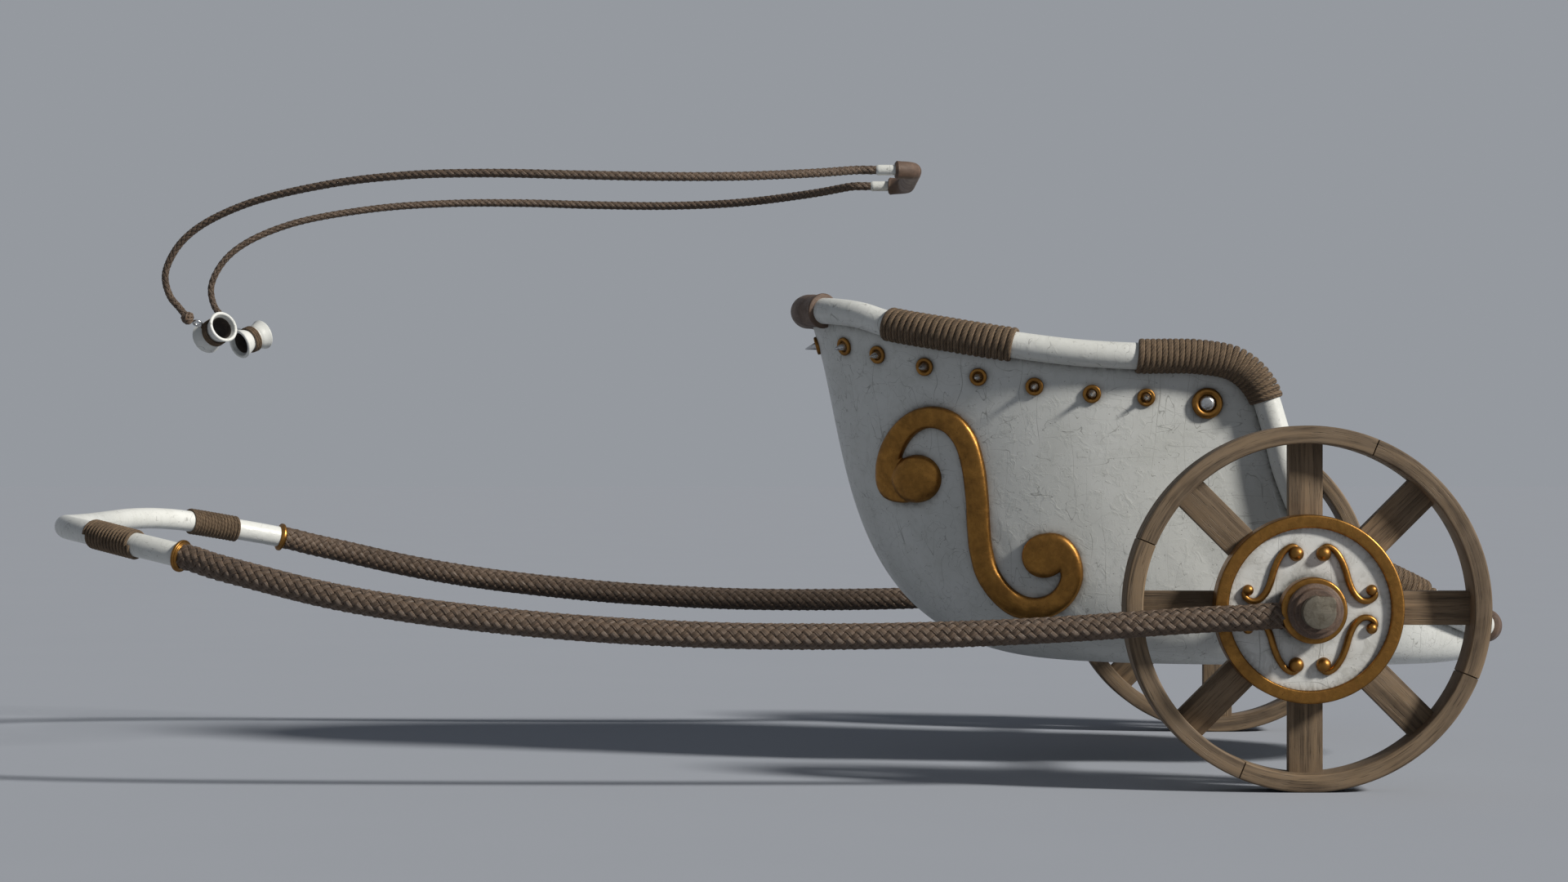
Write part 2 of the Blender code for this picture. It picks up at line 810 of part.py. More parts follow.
def cap_radii(stations):
    """Return the outer radius of a leather cap at each station, with a rolled bead at its ends."""
    radii = []
    for distance in stations:
        from_end = min(distance - stations[0], stations[-1] - distance)
        radii.append(COVER_RADIUS + (COVER_BEAD if from_end < COVER_BEAD_LENGTH else 0.0))
    return radii


def covered_stations(rail, start, end):
    """Return the stations of a covered stretch, with those of a leather cap's bead at its free end."""
    extra = []
    if start == 0.0:
        extra = [end - COVER_BEAD_LENGTH * 1.1, end - COVER_BEAD_LENGTH * 0.9]
    if end == rail.length:
        extra = [start + COVER_BEAD_LENGTH * 0.9, start + COVER_BEAD_LENGTH * 1.1]
    return rail.stations(extra, start, end, COVERED_SAG)


def add_rail(rail, finishes, parent):
    """Add the rail with its leather caps and its cord windings."""
    round_tail = both_sides(rail)
    around = both_ways(rail_stations(rail), rail.length)
    bar = tube(round_tail, around[:-1], RAIL_RADIUS, closed=True)
    add_solid("car_rail", *bar, finishes["white_paint"], parent)
    prow_first = Path(rail.points[::-1])
    round_prow = both_sides(prow_first)
    start, end = covers(rail)["front_cap"]
    half = [rail.length - distance for distance in reversed(covered_stations(rail, start, end))]
    spots = both_ways(half, rail.length)
    inner = over(RAIL_RADIUS, GAP)
    cap = sleeve(round_prow, spots, inner, cap_radii(spots))
    add_solid("front_cap", *cap, finishes["leather"], parent)
    spots = both_ways(covered_stations(rail, *covers(rail)["tail_cap"]), rail.length)
    cap = sleeve(round_tail, spots, inner, cap_radii(spots))
    add_solid("tail_cap", *cap, finishes["leather"], parent)
    turns = {"side_wrap": SIDE_WRAP_TURNS, "corner_wrap": CORNER_WRAP_TURNS,
             "tail_wrap": TAIL_WRAP_TURNS}
    for name, count in turns.items():
        start, end = covers(rail)[name]
        winding = wind(rail, start, end, count, over(RAIL_RADIUS, COVER_SLACK), name)
        add_pair(name, winding, finishes["cord"], parent)


def add_pair(name, solid, finish, parent):
    """Add a right-hand solid and its mirror image."""
    verts, faces = solid
    add_solid(name + "_right", verts, faces, finish, parent)
    add_solid(name + "_left", [mirrored(v) for v in verts], faces, finish, parent)


def wind(path, start, end, turns, inner, name, lead=UP):
    """Return one flat cord wound round a path in a single unbroken helix.

    The cord is as wide as its neighbours leave it at each point, so it closes
    up on the inside of a bend. The least gap from turn to turn is printed.
    """
    pitch = (end - start) / turns
    outer = inner + CORD_THICKNESS
    count = (turns - 1) * LOOP_STEPS + 1

    def spot(index, reach):
        distance = start + pitch / 2 + pitch * index / LOOP_STEPS
        run = path.direction(distance)
        first, second = across_frame(run, lead)
        angle = 2 * math.pi * index / LOOP_STEPS
        arm = first * math.cos(angle) + second * math.sin(angle)
        return path.at(distance) + reach * arm, run

    rings = []
    for index in range(count):
        here, run = spot(index, inner)
        after, _ = spot(index + LOOP_STEPS, inner)
        before, _ = spot(index - LOOP_STEPS, inner)
        room = min((after - here).length, (before - here).length) - CORD_GAP
        top, _ = spot(index, outer)
        half = room / 2
        crown = half * 0.5
        rings.append([here - run * half, here + run * half, top + run * crown, top - run * crown])
    least = min((rings[k + LOOP_STEPS][0] - rings[k][1]).length for k in range(count - LOOP_STEPS))
    print(f"{name}: least gap of the cord to itself {least * 1000:.2f} mm")
    return loft(rings)


def surface_point(skin, x, z, lift):
    """Return the point of the right side at an x and a height, lifted off the surface."""
    hit, normal = skin_hit(skin, (x, 2.0, z), (0, -1, 0))
    return hit + normal * lift, normal


def scroll_place(spot):
    """Return the x and the height of a place on the scroll."""
    return spot[0] - PROW_REACH, spot[1] + WHEEL_RADIUS


def scroll_band(skin):
    """Return the scroll's band, which follows the curve of the car's side."""
    route = smooth_route([(*scroll_place(spot), 0.0) for spot in SCROLL_ROUTE], SCROLL_POINTS)
    path = Path(route)
    rings = []
    for distance in np.linspace(0, path.length, SCROLL_POINTS):
        centre = path.at(distance)
        run = path.direction(distance)
        across = Vector((-run.y, run.x, 0))
        ring = []
        for share in (-0.5, 0.0, 0.5):
            place = centre + across * SCROLL_WIDTH * share
            ring.append(surface_point(skin, place.x, place.y, -RELIEF_ROOT)[0])
        for share, rise in ((0.44, 0.6), (0.0, 1.0), (-0.44, 0.6)):
            place = centre + across * SCROLL_WIDTH * share
            ring.append(surface_point(skin, place.x, place.y, SCROLL_HEIGHT * rise)[0])
        rings.append(ring)
    return loft(rings)


def scroll_eye(skin, centre, radius, steps=12):
    """Return one domed eye of the scroll, seated on the car's side."""
    x, z = scroll_place(centre)
    root = -RELIEF_ROOT / SCROLL_EYE_HEIGHT
    rings = []
    for reach, rise in ((0.5, root), (1.0, root), (0.97, 0.45), (0.80, 0.80), (0.50, 1.0)):
        ring = []
        for step in range(steps):
            angle = 2 * math.pi * step / steps
            ring.append(surface_point(skin, x + radius * reach * math.cos(angle),
                                      z + radius * reach * math.sin(angle),
                                      SCROLL_EYE_HEIGHT * rise)[0])
        rings.append(ring)
    return loft(rings)


def add_scrolls(skin, seat, finishes, parent):
    """Add the bronze scroll on each side."""
    band = scroll_band(skin)
    eyes = join_solids([
        scroll_eye(skin, SCROLL_UPPER_EYE, SCROLL_UPPER_EYE_RADIUS),
        scroll_eye(skin, SCROLL_LOWER_EYE, SCROLL_LOWER_EYE_RADIUS),
    ])
    for side, flip in (("right", 1), ("left", -1)):
        verts = [(x, y * flip, z) for x, y, z in (tuple(v) for v in band[0])]
        scroll = add_solid("scroll_" + side, verts, band[1], finishes["bronze"], parent)
        points = [(x, y * flip, z) for x, y, z in (tuple(v) for v in eyes[0])]
        add_boolean(scroll, add_guide("scroll_eyes_guide_" + side, points, eyes[1], parent), "UNION")
        add_boolean(scroll, seat, "DIFFERENCE")


def add_rivets(rail, skin, seat, finishes, parent):
    """Add the big domed rivet with its bronze ring on each side."""
    place, facing = surface_point(skin, RIVET_X, rail_height(rail, RIVET_X) - RIVET_DROP, 0.0)
    profile = (
        (0.0, -RELIEF_ROOT),
        (RIVET_RADIUS, -RELIEF_ROOT),
        (RIVET_RADIUS, RIVET_HEIGHT * 0.5),
        (RIVET_RADIUS * 0.82, RIVET_HEIGHT),
        (RIVET_RADIUS * 0.62, RIVET_HEIGHT * 0.6),
        (RIVET_DOME_RADIUS, RIVET_HEIGHT * 0.4),
        (RIVET_DOME_RADIUS * 0.8, RIVET_DOME_HEIGHT * 1.2),
        (RIVET_DOME_RADIUS * 0.3, RIVET_DOME_HEIGHT * 1.6),
        (0.0, RIVET_DOME_HEIGHT * 1.6),
    )
    verts, faces = turned(profile, place, facing, steps=16)
    for side, flip in (("right", 1), ("left", -1)):
        points = [(v.x, v.y * flip, v.z) for v in map(Vector, verts)]
        rivet = add_solid("rivet_" + side, points, faces, finishes["bronze"], parent)
        add_boolean(rivet, seat, "DIFFERENCE")


def felloe(start):
    """Return one quarter of the right wheel's rim, from a joint's angle in degrees."""
    half = math.radians(90.0 / FELLOE_FACETS / 2)
    outer = WHEEL_RADIUS / math.cos(half)
    inner = (WHEEL_RADIUS - RIM_DEPTH) / math.cos(half)
    back = RIM_FACE_Y - RIM_WIDTH
    section = (
        (inner, back),
        (outer - RIM_CHAMFER, back),
        (outer, back + RIM_CHAMFER),
        (outer, RIM_FACE_Y - RIM_CHAMFER),
        (outer - RIM_CHAMFER, RIM_FACE_Y),
        (inner + RIM_CHAMFER, RIM_FACE_Y),
        (inner, RIM_FACE_Y - RIM_CHAMFER),
    )
    trim = GAP / WHEEL_RADIUS
    rings = []
    for step in range(FELLOE_FACETS + 1):
        angle = math.radians(start + 90.0 * step / FELLOE_FACETS)
        angle += trim if step == 0 else 0.0
        angle -= trim if step == FELLOE_FACETS else 0.0
        rings.append([(r * math.cos(angle), y, WHEEL_RADIUS + r * math.sin(angle)) for r, y in section])
    return loft(rings)


def spoke_star():
    """Return the eight flat spokes with the eye that joins them round the nave."""
    half = SPOKE_WIDTH / 2
    facet = math.radians(90.0 / FELLOE_FACETS)
    reach = WHEEL_RADIUS - RIM_DEPTH - GAP
    middle = reach * math.tan(facet / 2)
    corner = (reach - half * math.sin(facet)) / math.cos(facet)
    slot = math.pi / SPOKES
    notch = half / math.sin(slot)
    eye = (NAVE_RADIUS + GAP) / math.cos(slot)
    verts = []
    faces = []
    for spoke in range(SPOKES):
        turn = 2 * math.pi * spoke / SPOKES
        flat = [
            (eye * math.cos(slot), -eye * math.sin(slot)),
            (notch * math.cos(slot), -half),
            (corner, -half),
            (reach, -middle),
            (reach, middle),
            (corner, half),
            (notch * math.cos(slot), half),
            (eye * math.cos(slot), eye * math.sin(slot)),
        ]
        base = len(verts)
        for y in (SPOKE_FACE_Y - SPOKE_THICKNESS, SPOKE_FACE_Y):
            for along, across in flat:
                x = along * math.cos(turn) - across * math.sin(turn)
                z = along * math.sin(turn) + across * math.cos(turn)
                verts.append((x, y, WHEEL_RADIUS + z))
        count = len(flat)
        faces.append(tuple(base + k for k in range(count)))
        faces.append(tuple(base + count + k for k in reversed(range(count))))
        for k in range(count):
            if k in (0, count - 2):
                continue
            step = (k + 1) % count
            faces.append((base + k, base + step, base + count + step, base + count + k))
    return merged(verts, faces)


def merged(verts, faces):
    """Return points and faces with the points that coincide made one."""
    kept = []
    index = {}
    names = []
    for point in verts:
        key = tuple(round(value, 6) for value in point)
        if key not in index:
            index[key] = len(kept)
            kept.append(point)
        names.append(index[key])
    return kept, [tuple(names[k] for k in face) for face in faces]


def ring_profile(inner, outer, start, end, chamfer=0.0):
    """Return the profile of a plain ring, with its outer edges chamfered."""
    wall = inner / math.cos(math.pi / ROUND_STEPS)
    if chamfer == 0.0:
        return ((wall, start), (outer, start), (outer, end), (wall, end))
    return ((wall, start), (outer - chamfer, start), (outer, start + chamfer),
            (outer, end - chamfer), (outer - chamfer, end), (wall, end))


def wheel_solids():
    """Return the right wheel's solids by name, each with its finish."""
    hub = (0, 0, WHEEL_RADIUS)
    along = (0, 1, 0)
    bore = AXLE_RADIUS + RUNNING_GAP
    spoke_back = SPOKE_FACE_Y - SPOKE_THICKNESS
    seat = SPOKE_FACE_Y + GAP
    nave = (
        (bore, NAVE_INNER_Y),
        (NAVE_FLANGE_RADIUS, NAVE_INNER_Y),
        (NAVE_FLANGE_RADIUS, spoke_back - GAP),
        (NAVE_RADIUS, spoke_back - GAP),
        (NAVE_RADIUS, HUB_FACE_Y),
        (bore, HUB_FACE_Y),
    )
    solids = {
        f"felloe_{k + 1}": (felloe(FELLOE_JOINT_ANGLE + 360.0 * k / FELLOES), "wood")
        for k in range(FELLOES)
    }
    solids["wheel_spokes"] = (spoke_star(), "wood")
    solids["wheel_nave"] = (turned(nave, hub, along), "wood")
    disc = ring_profile(NAVE_RADIUS + GAP, HUB_DISC_RADIUS, seat, HUB_FACE_Y - HUB_DISC_RECESS)
    solids["hub_disc"] = (turned(disc, hub, along), "white_paint")
    ring = ring_profile(HUB_DISC_RADIUS + GAP, HUB_DRUM_RADIUS, seat, HUB_FACE_Y, 0.004)
    solids["hub_ring"] = (turned(ring, hub, along), "bronze")
    return solids


def add_wheels(finishes, car):
    """Add both wheels, each on an empty at its hub."""
    middle = RIM_FACE_Y - RIM_WIDTH / 2
    for side, flip in (("right", 1), ("left", -1)):
        hub = Vector((0, middle * flip, WHEEL_RADIUS))
        carrier = add_empty("wheel_" + side, hub, car)
        for name, ((verts, faces), finish) in wheel_solids().items():
            points = [(v[0], v[1] * flip, v[2]) for v in verts]
            add_solid(f"{name}_{side}", points, faces, finishes[finish], carrier, origin=hub)


def add_axle(finishes, car):
    """Add the axle with the cap and the peg at each end."""
    hub = (0, 0, WHEEL_RADIUS)
    end = CAP_Y + AXLE_END_DEPTH
    profile = ((0.0, -end), (AXLE_RADIUS, -end), (AXLE_RADIUS, end), (0.0, end))
    add_solid("axle", *turned(profile, hub, (0, 1, 0)), finishes["iron"], car)
    bore = AXLE_RADIUS + RUNNING_GAP
    step = CAP_LENGTH - CAP_STEP_LENGTH
    cap = (
        (0.0, AXLE_END_DEPTH + GAP),
        (bore, AXLE_END_DEPTH + GAP),
        (bore, 0.0),
        (CAP_RADIUS, 0.0),
        (CAP_RADIUS, step),
        (CAP_STEP_RADIUS, step),
        (CAP_STEP_RADIUS, CAP_LENGTH),
        (0.0, CAP_LENGTH),
    )
    edge = 0.003
    peg = ((0.0, 0.0), (PEG_RADIUS, 0.0), (PEG_RADIUS, PEG_LENGTH - edge),
           (PEG_RADIUS - edge, PEG_LENGTH), (0.0, PEG_LENGTH))
    add_pair("axle_cap", turned(cap, (0, CAP_Y, WHEEL_RADIUS), (0, 1, 0)), finishes["leather"], car)
    add_pair("axle_peg", turned(peg, (0, PEG_Y, WHEEL_RADIUS), (0, 1, 0)), finishes["iron"], car)


def bow_path():
    """Return the bow's centreline, from its right end round the front to its left end."""
    left = [(x, -y, z) for x, y, z in reversed(BOW_ROUTE[:-1])]
    return Path(smooth_route(list(BOW_ROUTE) + left, 900))


def add_draught_bow(finishes, car):
    """Add the front bow with its two shafts, which swing about the axle."""
    carrier = add_empty("draught_bow", Vector((0, 0, WHEEL_RADIUS)), car)
    collar = ring_profile(AXLE_RADIUS + RUNNING_GAP, COLLAR_RADIUS, 0.0, COLLAR_WIDTH, 0.004)
    solid = turned(collar, (0, COLLAR_Y, WHEEL_RADIUS), (0, 1, 0))
    add_pair("shaft_collar", solid, finishes["bronze"], carrier)
    path = bow_path()
    start = path.at(0.0)
    run = path.direction(0.0)
    half = BOW_RING_WIDTH / 2
    inset = half + RUNNING_GAP
    spots = path.stations((inset + BOW_RING_WIDTH,), inset, path.length / 2, COVERED_SAG)
    bar = tube(path, both_ways(spots, path.length / 2), BOW_RADIUS)
    add_solid("bow", *bar, finishes["white_paint"], carrier)
    ring = (
        (0.0, -half),
        (BOW_RING_RADIUS * 0.85, -half),
        (BOW_RING_RADIUS, -half * 0.35),
        (BOW_RING_RADIUS, half * 0.35),
        (BOW_RING_RADIUS * 0.85, half),
        (0.0, half),
    )
    add_pair("bow_ring", turned(ring, start, run, steps=16), finishes["bronze"], carrier)
    far, near = BOW_WRAP_X
    order = sorted(path.along[np.argmin(abs(path.points[:450, 0] - x))] for x in (near, far))
    winding = wind(path, order[0], order[1], BOW_WRAP_TURNS, over(BOW_RADIUS, COVER_SLACK), "bow_wrap")
    add_pair("bow_wrap", winding, finishes["cord"], carrier)
    foot = Vector((-(COLLAR_RADIUS + GAP), COLLAR_Y + COLLAR_WIDTH / 2, WHEEL_RADIUS - SHAFT_DROP))
    straight = foot - Vector((SHAFT_RADIUS, 0, 0))
    route = [tuple(foot), tuple(straight), *SHAFT_ROUTE]
    route += [tuple(start - run * reach) for reach in (half + SHAFT_RADIUS, half + GAP)]
    points = cord_points(route, SHAFT_POINTS, SHAFT_RADIUS * 2)
    for side, flip in (("right", 1), ("left", -1)):
        line = [(x, y * flip, z) for x, y, z in points]
        add_tube("shaft_" + side, line, SHAFT_RADIUS, finishes["plait"], carrier)


def handle_path():
    """Return the handle's centreline, from its right end round the rear to its left end."""
    centre_x = HANDLE_REAR_X - HANDLE_CORNER
    centre_y = HANDLE_HALF_WIDTH - HANDLE_CORNER
    half = [(HANDLE_END_X, HANDLE_HALF_WIDTH, HANDLE_Z)]
    for angle in np.linspace(math.pi / 2, 0, 12):
        half.append((centre_x + HANDLE_CORNER * math.cos(angle),
                     centre_y + HANDLE_CORNER * math.sin(angle), HANDLE_Z))
    half.append((HANDLE_REAR_X, 0.0, HANDLE_Z))
    return Path(even_points(np.array(half + [(x, -y, z) for x, y, z in reversed(half[:-1])]), 400))


def cuff_solid(centre, axis):
    """Return one spool-shaped cuff, open from end to end."""
    end = CUFF_LENGTH / 2
    neck = (end + CUFF_WAIST_HALF) / 2
    shoulder = (CUFF_WAIST_RADIUS * 2 + CUFF_FLARE_RADIUS) / 3
    mouth = CUFF_FLARE_RADIUS - CUFF_LIP
    profile = (
        (CUFF_FLARE_RADIUS, -end),
        (CUFF_FLARE_RADIUS, CUFF_LIP - end),
        (shoulder, -neck),
        (CUFF_WAIST_RADIUS, -CUFF_WAIST_HALF),
        (CUFF_WAIST_RADIUS, CUFF_WAIST_HALF),
        (shoulder, neck),
        (CUFF_FLARE_RADIUS, end - CUFF_LIP),
        (CUFF_FLARE_RADIUS, end),
        (mouth, end),
        (CUFF_BORE_RADIUS, neck),
        (CUFF_BORE_RADIUS, -neck),
        (mouth, -end),
    )
    return turned(profile, centre, axis, steps=14)


def add_reins(finishes, car):
    """Add the handle, the two ropes and the two cuffs that hang from their knots."""
    carrier = add_empty("reins", Vector((HANDLE_END_X, 0, HANDLE_Z)), car)
    path = handle_path()
    spots = both_ways(path.stations((GRIP_START,), 0.0, path.length / 2, HANDLE_SAG), path.length / 2)
    add_solid("rein_handle", *tube(path, spots, HANDLE_RADIUS), finishes["white_paint"], carrier)
    held = [spot for spot in spots if GRIP_START - GAP < spot < path.length - GRIP_START + GAP]
    grip = sleeve(path, held, over(HANDLE_RADIUS, GAP), [GRIP_RADIUS] * len(held))
    add_solid("rein_grip", *grip, finishes["leather"], carrier)

    centre = Vector(CUFF_CENTRE)
    axis = Vector(CUFF_AXIS).normalized()
    toward = Vector(CUFF_TO_KNOT)
    toward = (toward - axis * toward.dot(axis)).normalized()
    lashing_bore = (CUFF_WAIST_RADIUS + RUNNING_GAP) / math.cos(math.pi / LOOP_STEPS)
    lashed = lashing_bore + CORD_THICKNESS
    link = SHACKLE_RADIUS + SHACKLE_TUBE
    pivot = centre + toward * (lashed + GAP + link)
    knot = pivot + toward * (link + GAP + KNOT_RADIUS)
    add_pair("rein_shackle", turned(
        [(SHACKLE_RADIUS + SHACKLE_TUBE * math.cos(k * math.pi / 3), SHACKLE_TUBE * math.sin(k * math.pi / 3))
         for k in range(6)], pivot, axis.cross(toward), steps=14), finishes["steel"], carrier)
    last = Vector(REIN_ROUTE[-1])
    lead = (last - knot).normalized()
    ball = [(KNOT_RADIUS * math.sin(k * math.pi / 7), -KNOT_RADIUS * math.cos(k * math.pi / 7))
            for k in range(1, 7)]
    ball = [(0.0, ball[0][1])] + ball + [(0.0, ball[-1][1])]
    add_pair("rein_knot", turned(ball, knot, lead, steps=12), finishes["plait"], carrier)
    tip = knot + lead * (-ball[0][1] + CORD_SEAT)
    start = Vector((HANDLE_END_X - CORD_SEAT, HANDLE_HALF_WIDTH, HANDLE_Z))
    straight = start - Vector((REIN_RADIUS * 2, 0, 0))
    route = [tuple(start), tuple(straight), *REIN_ROUTE,
             tuple(tip + lead * REIN_RADIUS * 2), tuple(tip)]
    points = cord_points(route, REIN_POINTS, REIN_RADIUS * 2)
    for side, flip in (("right", 1), ("left", -1)):
        line = [(x, y * flip, z) for x, y, z in points]
        add_tube("rein_rope_" + side, line, REIN_RADIUS, finishes["plait"], carrier)

    cuff = cuff_solid(centre, axis)
    waist = Path([centre - axis * CUFF_WAIST_HALF, centre, centre + axis * CUFF_WAIST_HALF])
    lashing = wind(waist, 0.0, waist.length, LASHING_TURNS + 1, lashing_bore, "cuff_lashing", toward)
    for side, flip in (("right", 1), ("left", -1)):
        at = Vector((pivot.x, pivot.y * flip, pivot.z))
        hanger = add_empty("cuff_" + side, at - carried_at(carrier), carrier)
        for name, (verts, faces), finish in (("rein_cuff", cuff, "white_paint"),
                                             ("cuff_lashing", lashing, "cord")):
            points = [(v[0], v[1] * flip, v[2]) for v in verts]
            add_solid(f"{name}_{side}", points, faces, finishes[finish], hanger, origin=at)


def build():
    """Build the whole chariot."""
    clear_scene()
    finishes = make_materials()
    car = add_empty("car", (AXLE_X, 0, 0))
    rail = rail_half()
    skin, seat = add_shell(rail, finishes, car)
    add_floor(rail, finishes, car)
    add_rail(rail, finishes, car)
    add_scrolls(skin, seat, finishes, car)
    add_rivets(rail, skin, seat, finishes, car)
    add_axle(finishes, car)
    add_wheels(finishes, car)
    add_draught_bow(finishes, car)
    add_reins(finishes, car)


if __name__ == "__main__":
    build()
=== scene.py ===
"""Dresses the two-wheeled chariot, its draught bow and its set of reins.

Metres, +Z up. The chariot faces -X and its near side is -Y. The sizes below are
measured from the axle's middle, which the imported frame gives, and each
sub-assembly is a class that builds its own pieces.
"""

from __future__ import annotations

import logging
import math
from contextlib import contextmanager
from dataclasses import dataclass, field
from enum import Enum
from typing import Iterable, Iterator, Sequence

import bmesh
import bpy
import numpy as np
from mathutils import Matrix, Vector
from mathutils.bvhtree import BVHTree

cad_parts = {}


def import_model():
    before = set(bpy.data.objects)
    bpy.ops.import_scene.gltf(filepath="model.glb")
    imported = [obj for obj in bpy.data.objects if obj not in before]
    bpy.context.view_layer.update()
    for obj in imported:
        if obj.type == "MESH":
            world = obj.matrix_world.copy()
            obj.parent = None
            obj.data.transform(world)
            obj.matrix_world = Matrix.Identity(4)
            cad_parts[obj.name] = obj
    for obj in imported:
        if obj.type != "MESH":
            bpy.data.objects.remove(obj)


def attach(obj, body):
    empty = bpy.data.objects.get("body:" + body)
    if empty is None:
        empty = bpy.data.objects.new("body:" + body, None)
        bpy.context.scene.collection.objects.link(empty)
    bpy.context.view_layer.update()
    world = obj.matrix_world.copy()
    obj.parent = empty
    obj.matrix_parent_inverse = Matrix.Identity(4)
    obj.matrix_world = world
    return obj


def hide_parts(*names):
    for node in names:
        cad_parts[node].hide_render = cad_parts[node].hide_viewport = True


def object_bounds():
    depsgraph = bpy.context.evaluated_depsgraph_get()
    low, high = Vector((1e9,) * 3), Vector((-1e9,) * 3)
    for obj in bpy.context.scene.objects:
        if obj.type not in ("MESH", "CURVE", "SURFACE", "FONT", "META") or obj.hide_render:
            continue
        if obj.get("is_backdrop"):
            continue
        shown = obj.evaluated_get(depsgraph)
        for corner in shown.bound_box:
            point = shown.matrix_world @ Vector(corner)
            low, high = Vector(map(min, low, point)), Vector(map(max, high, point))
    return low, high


LOG = logging.getLogger("chariot")
Colour = tuple[float, float, float]
Spot = tuple[float, float]

UP = np.array([0.0, 0.0, 1.0])
OUTWARD = np.array([0.0, 1.0, 0.0])
FLIP = np.array([1.0, -1.0, 1.0])
FLIP_MATRIX = Matrix.Diagonal((1.0, -1.0, 1.0, 1.0))

# The whole model is built from the axle's middle and then shifted into the frame
AXLE_X = 1.2755
AXLE_Z = 0.450

# What several sub-assemblies share
RAIL_RADIUS = 0.035
CAR_HALF_WIDTH = 0.455
PROW_REACH = 1.225
TAIL_REACH = 0.616
CORD_WIDTH = 0.0168
CORD_THICKNESS = 0.011

# How far two faces lean apart where their edge is drawn sharp, and where a board's is eased
SKIN_CREASE = math.radians(38)
BOARD_CREASE = math.radians(30)
SHELL_CREASE = math.radians(50)
EASED_CREASE = math.radians(25)


class Side(Enum):
    """The two sides of the chariot, with the sign of Y on each."""

    LEFT = -1
    RIGHT = 1

    @property
    def word(self) -> str:
        """Return the side's name as the frame's nodes spell it."""
        return self.name.lower()

    @property
    def flip(self) -> np.ndarray:
        """Return what turns a right-hand place into one on this side."""
        return np.array([1.0, float(self.value), 1.0])


class Slot(Enum):
    """The material slots."""

    PAINT = "white_paint"
    BRONZE = "bronze"
    WOOD = "wood"
    CORD = "cord"
    LEATHER = "leather"
    PLAIT = "plait"
    STEEL = "steel"
    IRON = "iron"


def unit(vectors: np.ndarray) -> np.ndarray:
    """Return vectors scaled to a length of one."""
    lengths = np.linalg.norm(vectors, axis=-1, keepdims=True)
    return vectors / np.maximum(lengths, 1e-12)


def on_axle(y: float = 0.0) -> tuple[float, float, float]:
    """Return a point of the axle's axis."""
    return (0.0, y, AXLE_Z)


def oblong(first: Spot, last: Spot) -> list[Spot]:
    """Return the corners of an upright oblong from its first corner and the one opposite."""
    return [first, (last[0], first[1]), last, (first[0], last[1])]


def circle(count: int) -> np.ndarray:
    """Return evenly spaced angles for one whole turn."""
    return np.linspace(0, 2 * math.pi, count, endpoint=False)


def step_lengths(points: np.ndarray, axis: int = 0) -> np.ndarray:
    """Return the distances between neighbouring points along an axis of an array."""
    return np.linalg.norm(np.diff(points, axis=axis), axis=-1)


def running(steps: np.ndarray) -> np.ndarray:
    """Return the running total of some steps, from zero on."""
    return np.concatenate(([0.0], np.cumsum(steps)))


def smooth_route(places: Sequence[Sequence[float]], count: int) -> np.ndarray:
    """Return evenly spaced points along a smooth curve through the given places.

    Args:
        places: the places that the curve passes through.
        count: how many points to return.

    Returns:
        An array of points, one row each.
    """
    route = np.array(places, dtype=float)
    knots = running(np.sqrt(step_lengths(route)))
    slopes = np.gradient(route, knots, axis=0, edge_order=2)
    dense = []
    for index in range(len(route) - 1):
        span = knots[index + 1] - knots[index]
        for t in np.linspace(0, 1, 40, endpoint=False):
            dense.append(
                (2 * t**3 - 3 * t**2 + 1) * route[index]
                + (t**3 - 2 * t**2 + t) * span * slopes[index]
                + (3 * t**2 - 2 * t**3) * route[index + 1]
                + (t**3 - t**2) * span * slopes[index + 1]
            )
    dense.append(route[-1])
    return even_points(np.array(dense), count)


def even_points(points: np.ndarray, count: int) -> np.ndarray:
    """Return points at equal distances along a polyline."""
    along = running(step_lengths(points))
    wanted = np.linspace(0, along[-1], count)
    return np.column_stack([np.interp(wanted, along, points[:, k]) for k in range(3)])


class Line:
    """A smooth line that is read by the distance along it."""

    def __init__(self, points: np.ndarray) -> None:
        """Measure the line through the points."""
        self.points = np.asarray(points, dtype=float)
        self.along = running(step_lengths(self.points))
        self.length = float(self.along[-1])
        self.slopes = unit(np.gradient(self.points, self.along, axis=0))

    def read(self, table: np.ndarray, distances: np.ndarray) -> np.ndarray:
        """Return rows of a table of values at distances along the line."""
        return np.column_stack([np.interp(distances, self.along, table[:, k]) for k in range(3)])

    def at(self, distances: np.ndarray) -> np.ndarray:
        """Return the places at distances along the line."""
        return self.read(self.points, np.atleast_1d(distances))

    def distance_at_x(self, x: float) -> float:
        """Return the distance at which the line reaches an x."""
        order = np.argsort(self.points[:, 0])
        return float(np.interp(x, self.points[order, 0], self.along[order]))

    def frames(self, distances: np.ndarray, lead: np.ndarray = UP) -> tuple[np.ndarray, ...]:
        """Return places, tangents and two crosswise directions at distances.

        Args:
            distances: distances along the line.
            lead: the direction that the first crosswise one is nearest to.

        Returns:
            Places, tangents, and the first and second crosswise directions.
        """
        places = self.at(distances)
        runs = unit(self.read(self.slopes, np.atleast_1d(distances)))
        first = unit(lead - runs * (runs @ lead)[:, None])
        return places, runs, first, np.cross(runs, first)

    def part(self, start: float, end: float, count: int) -> np.ndarray:
        """Return evenly spaced points of a stretch of the line."""
        return self.at(np.linspace(start, end, count))


def mirrored(points: np.ndarray) -> np.ndarray:
    """Return points mirrored across the centre plane."""
    return np.asarray(points) * FLIP


def both_sides(half: Line) -> Line:
    """Return a line along the right half and back along its mirror image."""
    return Line(np.vstack([half.points, mirrored(half.points)[-2::-1]]))


